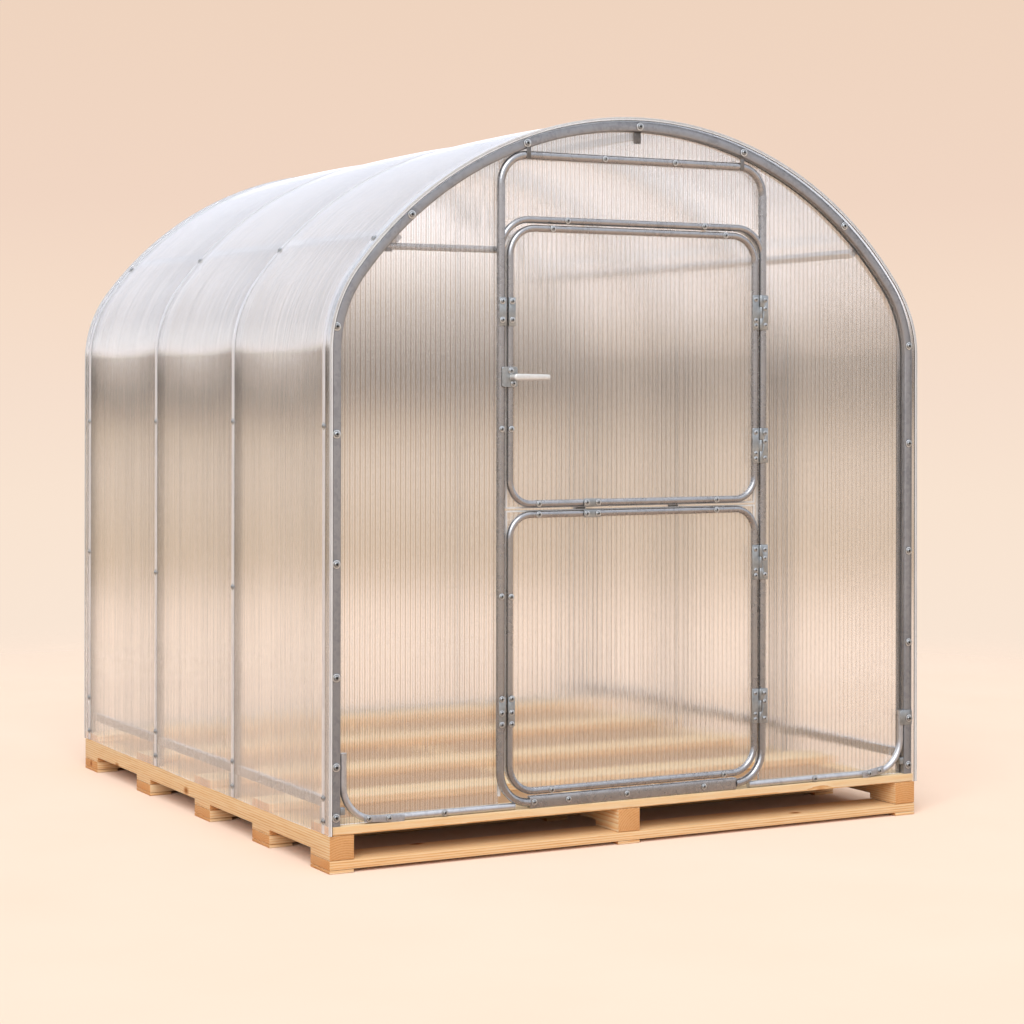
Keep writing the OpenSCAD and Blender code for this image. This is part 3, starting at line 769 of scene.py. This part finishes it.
def eased_copy(node, finish, ease, body="frame"):
    """The node's own shape with its hard edges broken, as pressed and dipped steel has."""
    mesh = bmesh.new()
    mesh.from_mesh(nodes[node].data)
    bmesh.ops.remove_doubles(mesh, verts=mesh.verts, dist=0.02 * mm)
    bmesh.ops.dissolve_limit(mesh, angle_limit=math.radians(1.0), verts=mesh.verts,
                             edges=mesh.edges)
    hard = [e for e in mesh.edges
            if len(e.link_faces) == 2 and e.calc_face_angle(0.0) > math.radians(40)]
    bmesh.ops.bevel(mesh, geom=hard, offset=ease, segments=2, profile=0.5, affect="EDGES")
    made = piece(node + "_eased", mesh, finish, body, smooth_angle=38)
    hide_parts(node)
    return made


def make_arch_tube(node, finish):
    """Bent box tube of the gable: a rounded section carried round the arch."""
    low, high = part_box(node)
    depth = high.y - low.y
    middle = (high.y + low.y) / 2
    corner = 5.5 * mm
    section = []
    for cx, cy, start in ((1, 1, 0), (-1, 1, 90), (-1, -1, 180), (1, -1, 270)):
        for k in range(5):
            a = math.radians(start + 90 * k / 4)
            out = -arch_t / 2 + cx * (arch_t / 2 - corner) + corner * math.cos(a)
            along = cy * (depth / 2 - corner) + corner * math.sin(a)
            section.append((out, along))
    mesh = bmesh.new()
    rails = []
    for p, n in arch_line(0.0, low.z, 6, 24, 52):
        rails.append([p + n * out + Vector((0, middle + along, 0)) for out, along in section])
    swept(mesh, rails)
    made = piece(node + "_tube", mesh, finish, smooth_angle=35)
    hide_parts(node)


def round_loop(low_x, high_x, low_z, high_z, radii, steps=8):
    """Rounded outline in X and Z, anticlockwise from the lower left; radii in that order."""
    line = []
    corners = [(low_x, low_z, 180, radii[0]), (high_x, low_z, 270, radii[1]),
               (high_x, high_z, 0, radii[2]), (low_x, high_z, 90, radii[3])]
    for x, z, start, r in corners:
        cx = x + r if x == low_x else x - r
        cz = z + r if z == low_z else z - r
        for k in range(steps + 1 if r > 0 else 1):
            a = math.radians(start + 90 * k / steps)
            line.append((cx + r * math.cos(a), cz + r * math.sin(a)))
    return line


def make_sheet_edging(name, node, body, round_top, finish):
    """White edge profile that closes the flutes round a leaf's sheet."""
    low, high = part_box(node)
    r = leaf_corner_r
    proud, lap = 0.3 * mm, 4.5 * mm
    radii = (0, 0, r, r) if round_top else (r, r, 0, 0)
    up = 0.0 if round_top else -1.0
    outer = round_loop(low.x - proud, high.x + proud, low.z, high.z, radii)
    inner = round_loop(low.x + lap, high.x - lap, low.z + lap, high.z - lap,
                       tuple(max(q - lap, 0) for q in radii))
    front, back = low.y - 0.4 * mm, high.y
    mesh = bmesh.new()
    rails = [[Vector((ox, front, oz)), Vector((ix, front, iz)),
              Vector((ix, back, iz)), Vector((ox, back, oz))]
             for (ox, oz), (ix, iz) in zip(outer, inner)]
    swept(mesh, rails, closed_path=True)
    made = piece(name, mesh, finish, body, smooth_angle=40)


def make_opening_edging(finish):
    """White profile on the cut edges of the fixed sheets, round the door opening."""
    jamb_low, jamb_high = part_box("door_frame")
    top_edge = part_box("front_panel_top")[0].z
    front_y, back_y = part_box("front_panel_left")[0].y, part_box("front_panel_left")[1].y
    left, right = jamb_low.x + jamb_d / 2, jamb_high.x - jamb_d / 2
    inner_r = 92 * mm
    outer = round_loop(left, right, leaf_low_z, top_edge, (0, 0, inner_r, inner_r))
    inner = round_loop(left + 8 * mm, right - 8 * mm, leaf_low_z, top_edge - 9.5 * mm,
                       (0, 0, inner_r - 8 * mm, inner_r - 8 * mm))
    outer = outer[1:] + outer[:1]
    inner = inner[1:] + inner[:1]
    rails = [[Vector((ox, front_y - 0.4 * mm, oz)), Vector((ix, front_y - 0.4 * mm, iz)),
              Vector((ix, back_y + 0.4 * mm, iz)), Vector((ox, back_y + 0.4 * mm, oz))]
             for (ox, oz), (ix, iz) in zip(outer, inner)]
    mesh = bmesh.new()
    swept(mesh, rails)
    made = piece("door_opening_edging", mesh, finish, smooth_angle=40)


def make_tube_rings(name, spots, body, finish):
    """Sleeve ends and joint rings on the round tubes: (foot, axis, radius, length)."""
    mesh = bmesh.new()
    for foot, axis, radius, length in spots:
        turned(mesh, [(radius * 0.9, 0), (radius, 0.4 * mm), (radius, length - 0.4 * mm),
                      (radius * 0.9, length)], foot, axis, 24)
    made = piece(name, mesh, finish, body, smooth_angle=50)


def make_bars(name, bars, body, finish, ease=0.8 * mm):
    """Small flat brackets and straps: (low corner, high corner, turn about Y in degrees)."""
    mesh = bmesh.new()
    for low, high, turn in bars:
        verts = slab(mesh, low, high)
        middle = (Vector(low) + Vector(high)) / 2
        bmesh.ops.rotate(mesh, verts=verts, cent=middle,
                         matrix=Matrix.Rotation(math.radians(turn), 3, "Y"))
    bmesh.ops.bevel(mesh, geom=list(mesh.edges), offset=ease, segments=2, profile=0.5,
                    affect="EDGES")
    made = piece(name, mesh, finish, body, smooth_angle=38)
    return made


def make_lever(finish):
    """Cast lever: a round hub on the latch plate and a tapered bar with a rounded tip."""
    low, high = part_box("lever_handle")
    mid_z = lever_z
    mesh = bmesh.new()
    hub_x = low.x + 8 * mm
    turned(mesh, [(0, 0), (9.5 * mm, 0), (9.5 * mm, 3 * mm), (7.5 * mm, 4.5 * mm),
                  (7.2 * mm, high.y - low.y - 7 * mm), (0, high.y - low.y - 7 * mm)],
           (hub_x, high.y, mid_z), (0, -1, 0), 24)
    bar_mid_y = low.y + 4.4 * mm
    rails = []
    length = high.x - low.x
    steps = 26
    for k in range(steps + 1):
        t = k / steps
        x = low.x + length * t
        from_end = min(t * length, (1 - t) * length)
        cap = math.sqrt(max(1 - (1 - min(from_end / (7.5 * mm), 1)) ** 2, 0.0004))
        tall = (9.4 - 1.9 * t) * mm * cap
        deep = 4.3 * mm * cap
        row = []
        for j in range(16):
            a = 2 * math.pi * j / 16
            c, q = math.cos(a), math.sin(a)
            row.append(Vector((x, bar_mid_y + deep * math.copysign(abs(c) ** 0.75, c),
                               mid_z + tall * math.copysign(abs(q) ** 0.75, q))))
        rails.append(row)
    swept(mesh, rails)
    made = piece("lever_casting", mesh, finish, "lever", smooth_angle=50)
    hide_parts("lever_handle")


def make_latch_plate(finish):
    """Pressed plate with round corners across the gap, with a hole for the lever's hub."""
    hub_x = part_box("lever_handle")[0].x + 8 * mm
    corner = 6 * mm
    outline = round_loop(-474 * mm, -424 * mm, 1343 * mm, 1401 * mm, (corner,) * 4)
    eased = round_loop(-473 * mm, -425 * mm, 1344 * mm, 1400 * mm, (corner - 1 * mm,) * 4)
    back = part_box("upper_leaf_plates")[0].y - 2 * mm
    front_face = back - 3 * mm
    rails = []
    for (ox, oz), (ex, ez) in zip(outline, eased):
        away = Vector((ox - hub_x, 0, oz - lever_z)).normalized() * 10.5 * mm
        hx, hz = hub_x + away.x, lever_z + away.z
        rails.append([Vector((ox, back, oz)), Vector((ox, front_face + 1 * mm, oz)),
                      Vector((ex, front_face, ez)), Vector((hx, front_face, hz)),
                      Vector((hx, back, hz))])
    mesh = bmesh.new()
    swept(mesh, rails, closed_path=True)
    for x, z in latch_screws:
        turned(mesh, [(0, 0), (5 * mm, 0), (5 * mm, 2.2 * mm), (0, 2.2 * mm)],
               (x, back + 2 * mm, z), (0, -1, 0), 12)
    made = piece("latch_plate_pressing", mesh, finish, "upper_leaf", smooth_angle=38)


def make_nails(finish):
    """Nail heads where the deck boards cross the stringers."""
    deck_low, deck_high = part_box("deck_boards")
    rng = random.Random(23)
    mesh = bmesh.new()
    span = deck_high.y - deck_low.y - board_w
    for share in board_shares:
        y0 = deck_low.y + span * share
        for name in ("stringer_left", "stringer_middle", "stringer_right"):
            low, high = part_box(name)
            for across in (0.3, 0.72):
                x = low.x + (high.x - low.x) * (0.5 + rng.uniform(-0.12, 0.12))
                y = y0 + board_w * (across + rng.uniform(-0.05, 0.05))
                turned(mesh, [(3.6 * mm, -0.5 * mm), (3.6 * mm, 0.2 * mm),
                              (2.8 * mm, 0.45 * mm), (0, 0.45 * mm)],
                       (x, y, deck_high.z), (0, 0, 1), 10)
    made = piece("deck_nails", mesh, finish, smooth_angle=50)


# ---------------------------------------------------------------- studio

def make_studio():
    world = bpy.data.worlds.new("studio")
    bpy.context.scene.world = world
    world.use_nodes = True
    tree = world.node_tree
    tree.nodes.clear()
    way = add(tree, "ShaderNodeTexCoord").outputs["Generated"]
    up = add(tree, "ShaderNodeSeparateXYZ", Vector=way).outputs["Z"]
    span = 0.26

    def height(degrees):
        return (math.sin(math.radians(degrees)) + span) / (2 * span)

    share = add(tree, "ShaderNodeMapRange", Value=up, i1=-span, i2=span).outputs["Result"]
    backdrop = add(tree, "ShaderNodeValToRGB", {"stops": [
        (height(-14.9), "#F7E0CE"), (height(-12.0), "#FAE5D4"), (height(-7.4), "#FAE7D6"),
        (height(-2.6), "#F9E4D1"), (height(0.0), "#F6DFCD"), (height(2.2), "#F5DCC8"),
        (height(4.6), "#F1D6C3"), (height(9.3), "#EFD4BF")]}, Fac=share)
    around = add(tree, "ShaderNodeValToRGB", {"stops": [
        (height(-14.0), "#E2CAB6"), (height(-7.0), "#DDC6B4"), (height(-5.1), "#D6BFAD"),
        (height(-4.5), "#B59E88"), (height(-4.0), "#A89177"), (height(-1.9), "#BBA897"),
        (height(-0.9), "#A8947F"), (height(-0.2), "#776759"), (height(0.4), "#584D43"),
        (height(1.2), "#82776E"), (height(2.2), "#A4988E"), (height(3.1), "#D6CBC5"),
        (height(4.8), "#F6F1F4"), (height(7.5), "#EAEBF1"), (height(13.5), "#CACDD7")]},
                 Fac=share)
    path = add(tree, "ShaderNodeLightPath")
    mirror = add(tree, "ShaderNodeMath", {"operation": "MAXIMUM"},
                 i0=path.outputs["Is Glossy Ray"], i1=path.outputs["Is Transmission Ray"])
    lit = add(tree, "ShaderNodeMix", {"data_type": "RGBA"}, i0=mirror.outputs["Value"],
              i6=(0.36, 0.356, 0.352, 1.0), i7=around.outputs["Color"])
    seen = add(tree, "ShaderNodeMix", {"data_type": "RGBA"}, i0=path.outputs["Is Camera Ray"],
               i6=lit.outputs[2], i7=backdrop.outputs["Color"])
    glow = add(tree, "ShaderNodeMapRange", Value=mirror.outputs["Value"], i3=1.0, i4=1.6)
    sky = add(tree, "ShaderNodeBackground", Color=seen.outputs[2],
              Strength=glow.outputs["Result"])
    add(tree, "ShaderNodeOutputWorld", Surface=sky.outputs["Background"])


def make_floor():
    """A wide paper floor that fades into the backdrop and keeps the shadow."""
    radius, rings, sides = 6.4, 8, 96
    mesh = bmesh.new()
    rows = []
    for k in range(1, rings + 1):
        r = radius * k / rings
        rows.append([mesh.verts.new((r * math.cos(2 * math.pi * j / sides),
                                     r * math.sin(2 * math.pi * j / sides), 0.0))
                     for j in range(sides)])
    mesh.faces.new(rows[0])
    for low, high in zip(rows, rows[1:]):
        for j in range(sides):
            n = (j + 1) % sides
            mesh.faces.new((low[j], low[n], high[n], high[j]))
    data = bpy.data.meshes.new("paper_floor")
    mesh.to_mesh(data)
    mesh.free()
    floor = bpy.data.objects.new("paper_floor", data)
    bpy.context.scene.collection.objects.link(floor)
    material, tree = blank("matt_studio_paper")
    here = add(tree, "ShaderNodeTexCoord").outputs["Object"]
    far = add(tree, "ShaderNodeVectorMath", {"operation": "LENGTH"}, i0=here).outputs["Value"]
    fade = add(tree, "ShaderNodeMapRange", {"interpolation_type": "SMOOTHSTEP"},
               Value=far, i1=2.6, i2=6.0, i3=0.0, i4=1.0)
    tooth = add(tree, "ShaderNodeTexNoise", Vector=here, Scale=1.3, Detail=3.0).outputs["Fac"]
    colour = add(tree, "ShaderNodeValToRGB",
                 {"stops": [(0.3, "#F5DCC9"), (0.7, "#F7DFCD")]}, Fac=tooth)
    paper = add(tree, "ShaderNodeBsdfDiffuse", Color=colour.outputs["Color"], Roughness=1.0)
    gone = add(tree, "ShaderNodeBsdfTransparent")
    mixed = add(tree, "ShaderNodeMixShader", Fac=fade.outputs["Result"],
                i1=paper.outputs["BSDF"], i2=gone.outputs["BSDF"])
    finish_with(tree, mixed.outputs["Shader"])
    data.materials.append(material)


def make_lamps():
    for name, power, angle, tilt in (("key_lamp", 1.7, 50.0, (52.0, 0.0, -35.0)),
                                     ("top_lamp", 0.8, 80.0, (12.0, 0.0, -20.0))):
        lamp = bpy.data.lights.new(name, "SUN")
        lamp.energy = power
        lamp.angle = math.radians(angle)
        holder = bpy.data.objects.new(name, lamp)
        bpy.context.scene.collection.objects.link(holder)
        holder.rotation_euler = Euler([math.radians(a) for a in tilt])


# ---------------------------------------------------------------- building it

bpy.context.scene.view_settings.view_transform = "Standard"
place_camera()
make_studio()
make_floor()
make_lamps()

tube_zinc = galvanised_steel("hot_dip_galvanised_tube", "#A7A7A8", "#919193", 0.26)
purlin_zinc = galvanised_steel("bright_galvanised_purlin", "#D2D2D3", "#BDBDBE", 0.4)
# The hoops' near-white crown colour is painted light.
hoop_zinc = galvanised_steel("galvanised_hoop_dull_legs_painted_light_crown", "#716D6A", "#5C5956", 0.45, "#F6F5F4")
base_zinc = galvanised_steel("bright_galvanised_base_tube", "#C6C7C9", "#A9AAAD", 0.36)
band_zinc = galvanised_steel("hot_dip_galvanised_arch", "#9B9DA1", "#85878B", 0.38)
plate_zinc = bright_metal("zinc_plated_plate", "#ABB0B2", "#8B9092", 0.34, 0.85, 14.0,
                          (1.0, 1.0, 1.0))
screw_zinc = bright_metal("bright_zinc_washer", "#DADDDE", "#B9BDBF", 0.3, 0.9, 5.0,
                          (1.0, 1.0, 1.0))
head_zinc = bright_metal("zinc_plated_screw_head", "#B4B8BA", "#85898B", 0.28, 0.9, 5.0,
                         (1.0, 1.0, 1.0))
strip_alloy = bright_metal("rolled_aluminium_strip", "#EFEFF1", "#DBDBDE", 0.4, 0.6, 12.0,
                           (0.2, 1.0, 0.2))
lever_alloy = bright_metal("cast_aluminium_lever", "#EDECEA", "#DAD9D7", 0.42, 0.35, 4.0,
                           (1.0, 1.0, 1.0))
socket_black = dark_recess("black_rubber_and_painted_socket_shade")
dull_bracket = galvanised_steel("dull_galvanised_bracket", "#7C7A78", "#5F5D5B", 0.5)
# Black strip on the cover's cut edge: painted shade line.
shade_line_black = shade_line_rubber("black_strip_painted_shade_line")
# Brown sheet for the shade under the deck: painted shade.
under_deck_shade_brown = under_deck_shade_board("brown_board_painted_under_deck_shade")
lap_zinc = bright_metal("flattened_zinc_lap", "#BFC1C5", "#A2A4A8", 0.42, 0.85, 10.0,
                        (1.0, 1.0, 1.0))
gable_clear = twin_wall("twin_wall_polycarbonate_gable", 0, ("#D0C0B3", "#FFFFFF"), 0.085)
cover_clear = twin_wall("twin_wall_polycarbonate_cover", 1, ("#E6E3E2", "#FFFFFF"), 0.07)
web_film = flute_wall("polycarbonate_flute_wall", 0.17, "#FFFFFF", "#EFEDEB")
cover_web_film = flute_wall("polycarbonate_cover_flute_wall", 0.07, "#FFFFFF", "#EFEDEB")
lip_white = flute_wall("polycarbonate_cut_edge", 0.92, "#FFFFFF", "#F6F4F4")
lip_clear = flute_wall("polycarbonate_outer_cut_edge", 0.42, "#FFFFFF", "#F2EFEF")
edge_white = flute_wall("white_edge_profile", 0.98, "#FCFAF8", "#F0EDEA")
pine_x = sawn_pine("sawn_pine_cross_board", 0, 0.0)
pine_y = sawn_pine("sawn_pine_stringer", 1, 0.0)
# The deck boards' lighter tops are painted light.
pine_deck = sawn_pine("pine_deck_board_painted_top_light", 0, 1.0)

finishes = {
    tube_zinc: ["side_rail_left", "side_rail_right", "gable_tie", "rear_posts",
                "door_frame", "door_header", "door_sill",
                "upper_leaf_frame", "lower_leaf_frame"],
    band_zinc: ["gable_arch_front", "gable_arch_rear"],
    hoop_zinc: ["hoop_1", "hoop_2", "hoop_3", "hoop_4"],
    plate_zinc: ["foot_plates", "corner_plates", "hinges_frame", "hinges_upper",
                 "hinges_lower", "frame_catches", "upper_leaf_plates", "lower_leaf_plates"],
    gable_clear: ["front_panel_left", "front_panel_right", "front_panel_top", "rear_panel",
                  "upper_leaf_sheet", "lower_leaf_sheet"],
    lever_alloy: ["lever_handle"],
    base_zinc: ["base_rail_front", "base_rail_rear"],
    purlin_zinc: ["ridge_purlin", "purlin_left", "purlin_right"],
    # The brown underlay is painted shade beneath the deck.
    under_deck_shade_brown: ["deck_underlay"],
}
for material, names in finishes.items():
    for name in names:
        nodes[name].data.materials.clear()
        nodes[name].data.materials.append(material)

make_cover(cover_clear, cover_web_film, lip_white, shade_line_black, lip_clear)
make_cover_strips(strip_alloy)
for name, body in (("front_panel_left", "frame"), ("front_panel_right", "frame"),
                   ("front_panel_top", "frame"), ("rear_panel", "frame"),
                   ("upper_leaf_sheet", "upper_leaf"), ("lower_leaf_sheet", "lower_leaf")):
    make_flute_walls(name, body, web_film)

make_boards("deck_boards", 0, pine_deck, 3)
make_boards("bottom_boards", 0, pine_x, 5)
make_boards("foot_pads", 0, pine_x, 7)
make_boards("stringer_left", 1, pine_y, 11)
make_boards("stringer_middle", 1, pine_y, 13)
make_boards("stringer_right", 1, pine_y, 17)

for name in ("gable_arch_front", "gable_arch_rear"):
    make_arch_tube(name, band_zinc)
make_sheet_edging("upper_leaf_edging", "upper_leaf_sheet", "upper_leaf", True, edge_white)
make_sheet_edging("lower_leaf_edging", "lower_leaf_sheet", "lower_leaf", False, edge_white)
make_opening_edging(edge_white)
make_lever(lever_alloy)
make_latch_plate(plate_zinc)
make_nails(screw_zinc)
for name, body in (("foot_plates", "frame"), ("corner_plates", "frame"),
                   ("hinges_frame", "frame"), ("hinges_upper", "upper_leaf"),
                   ("hinges_lower", "lower_leaf"), ("frame_catches", "frame"),
                   ("upper_leaf_plates", "upper_leaf"), ("lower_leaf_plates", "lower_leaf")):
    eased_copy(name, plate_zinc, 0.9 * mm, body)
eased_copy("door_sill", tube_zinc, 2.5 * mm, "frame")

# ---- screws: places in millimetres, read along each part
screw_finish = [screw_zinc, socket_black, head_zinc]
front = (0, -1, 0)
back = (0, 1, 0)
face_y = arch_face_y
post_x = half_w - arch_t / 2
left_post = (1509, 1212, 853, 540, 293, 154)
right_post = (1476, 1169, 831, 543, 304, 157)
arch_xs = (-756, -387, -8, 360, 734)


def arch_spot(x):
    """Point on the middle of the gable arch at x."""
    r = crown_r - arch_t / 2
    if abs(x) > shoulder_x + (shoulder_r - arch_t / 2) * math.cos(join_angle):
        r = shoulder_r - arch_t / 2
        return spring_z + math.sqrt(r * r - (abs(x) - shoulder_x) ** 2)
    return crown_mid_z + math.sqrt(r * r - x * x)


places = [((-post_x, face_y, z * mm), front) for z in left_post]
plate_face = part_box("corner_plates")[0].y
places += [((post_x, plate_face if z == 304 else face_y, z * mm), front) for z in right_post]
places += [((x * mm, face_y, arch_spot(x * mm)), front) for x in arch_xs]
make_screws("gable_screws_front", places, "frame", screw_finish)
rear_face_y = arch_back_y - 1.6 * mm
places = [((post_x, rear_face_y, z * mm), back) for z in left_post]
places += [((-post_x, rear_face_y, z * mm), back) for z in right_post]
places += [((-x * mm, rear_face_y, arch_spot(x * mm)), back) for x in arch_xs]
make_screws("gable_screws_rear", places, "frame", screw_finish)

strip_out = half_w + cover_t - pinch + 1.3 * mm
hoop_zs = ((1234, 205, 141), (1238, 740, 214, 140), (1230, 738, 219, 140), (1222, 765, 253, 137))
roof_angle = math.acos(-859 / 1167)
places = []
for y, zs in zip(hoop_ys, hoop_zs):
    for side in (-1, 1):
        for z in zs:
            places.append(((side * strip_out, y, z * mm), (side, 0, 0)))
        n = Vector((-side * math.cos(roof_angle), 0, math.sin(roof_angle)))
        foot = Vector((0, y, crown_mid_z)) + n * (crown_r + strip_out - half_w)
        places.append((foot, n))
make_screws("cover_screws", places, "frame", screw_finish, 0.74)

jamb_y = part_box("door_frame")[0].y
leaf_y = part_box("upper_leaf_frame")[0].y
header_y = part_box("door_header")[0].y
base_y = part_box("base_rail_front")[0].y
catch_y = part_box("frame_catches")[0].y
places = [((door_x - jamb_x - 2 * mm, jamb_y, z * mm), front) for z in (1223, 744)]
places += [((door_x - jamb_x - 2 * mm, catch_y, z * mm), front)
           for z in (1589, 1535, 451, 411, 378)]
places += [((x * mm, jamb_y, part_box("door_frame")[1].z - jamb_d / 2), front)
           for x in (-129, 113)]
places += [((x * mm, header_y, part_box("door_header")[1].z - rail_d / 2), front)
           for x in (-254, 218)]
sill_low, sill_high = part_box("door_sill")
places += [((x * mm, sill_low.y, (sill_low.z + sill_high.z) / 2), front)
           for x in (-361, -247, -49, 220)]
places += [((x * mm, base_y, z * mm), front)
           for x, z in ((-649, 141), (627, 141))]
make_screws("door_frame_screws", places, "frame", screw_finish, 0.74)

places = [((door_x - leaf_x, leaf_y, 1223 * mm), front)]
places += [((x * mm, leaf_y, leaf_top_z - rail_d / 2), front) for x in (-304, 292)]
places += [((x * mm, leaf_y, meet_z + 16 * mm), front) for x in (-349, 261)]
upper_plate_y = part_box("upper_leaf_plates")[0].y
places += [((door_x - leaf_x + 1 * mm, upper_plate_y, z * mm), front) for z in (1589, 1535)]
places += [((x, upper_plate_y - 5 * mm, z), front) for x, z in latch_screws]
places += [((x * mm, upper_plate_y, meet_z + 17 * mm), front) for x in (-191, -153)]
make_screws("upper_leaf_screws", places, "upper_leaf", screw_finish, 0.74)

places = [((door_x - leaf_x, leaf_y, 742 * mm), front)]
places += [((x * mm, leaf_y, leaf_low_z + rail_d / 2), front) for x in (-305, 289)]
places += [((x * mm, leaf_y, meet_z - 15 * mm), front) for x in (-349, 261)]
lower_plate_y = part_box("lower_leaf_plates")[0].y
places += [((door_x - leaf_x + 1 * mm, lower_plate_y, z * mm), front) for z in (451, 411, 378)]
places += [((x * mm, lower_plate_y, meet_z - 16 * mm), front) for x in (-191, -153)]
make_screws("lower_leaf_screws", places, "lower_leaf", screw_finish, 0.74)

hinge_zs = {"upper_leaf": (1571, 1168), "lower_leaf": (814, 378)}
pin_x = 417.5 * mm
hinge_plate_y = leaf_y - 3 * mm
for body, zs in hinge_zs.items():
    on_frame, on_leaf = [], []
    for z in zs:
        for step in (-38, 12, 38):
            on_frame.append(((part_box("hinges_frame")[1].x - 11 * mm, hinge_plate_y,
                              (z + step) * mm), front))
        for step in (-40, -24, 40):
            on_leaf.append(((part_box("hinges_upper")[0].x + 11 * mm, hinge_plate_y,
                             (z + step) * mm), front))
    make_screws("hinge_screws_frame_" + body, on_frame, "frame", screw_finish, 0.58)
    make_screws("hinge_screws_" + body, on_leaf, body, screw_finish, 0.58)

# ---- brackets, laps and sleeves
arch_low_crown = crown_z - arch_t
make_bars("arch_brackets", [
    ((-20 * mm, face_y + 14 * mm, arch_low_crown - 34 * mm),
     (4 * mm, face_y + 17 * mm, arch_low_crown + 6 * mm), 0),
    ((-391 * mm, jamb_y - 0.5 * mm, 2000 * mm), (-377 * mm, jamb_y + 2.5 * mm, 2034 * mm), 0),
    ((345 * mm, jamb_y - 0.5 * mm, 2000 * mm), (359 * mm, jamb_y + 2.5 * mm, 2034 * mm), 0),
], "frame", dull_bracket)
make_bars("tie_bracket", [
    ((-832 * mm, face_y + 32 * mm, 1722 * mm), (-802 * mm, face_y + 38 * mm, 1754 * mm), 0),
], "frame", dull_bracket)
make_bars("base_rail_laps", [
    ((-900 * mm, base_y - 3 * mm, 131 * mm), (-776 * mm, base_y + 2 * mm, 151 * mm), 4),
    ((806 * mm, base_y - 3 * mm, 133 * mm), (888 * mm, base_y + 2 * mm, 155 * mm), -10),
], "frame", lap_zinc, 1.6 * mm)
lap_face = base_y - 3 * mm
make_screws("base_lap_screws", [((x * mm, lap_face, z * mm), front) for x, z in
                                ((-886, 145), (-824, 141), (832, 141), (870, 147))],
            "frame", screw_finish, 0.74)
bend_foot = 1925 * mm
jamb_mid_y = jamb_y + jamb_d / 2
make_tube_rings("door_frame_sleeves", [
    ((door_x - jamb_x, jamb_mid_y, bend_foot - 62 * mm), (0, 0, 1), jamb_d / 2 + 0.7 * mm, 62 * mm),
    ((door_x + jamb_x, jamb_mid_y, bend_foot - 62 * mm), (0, 0, 1), jamb_d / 2 + 0.7 * mm, 62 * mm),
    ((-340 * mm, jamb_mid_y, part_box("door_frame")[1].z - jamb_d / 2), (1, 0, 0),
     jamb_d / 2 + 0.7 * mm, 26 * mm),
], "frame", tube_zinc)
leaf_mid_y = leaf_y + rail_d / 2
make_tube_rings("upper_leaf_rings", [
    ((door_x + side * leaf_x, leaf_mid_y, z * mm), (0, 0, 1), rail_d / 2 + 0.5 * mm, 3 * mm)
    for side in (-1, 1) for z in (1654, 1120)], "upper_leaf", tube_zinc)
make_tube_rings("lower_leaf_rings", [
    ((door_x + side * leaf_x, leaf_mid_y, z * mm), (0, 0, 1), rail_d / 2 + 0.5 * mm, 3 * mm)
    for side in (-1, 1) for z in (880, 300)], "lower_leaf", tube_zinc)
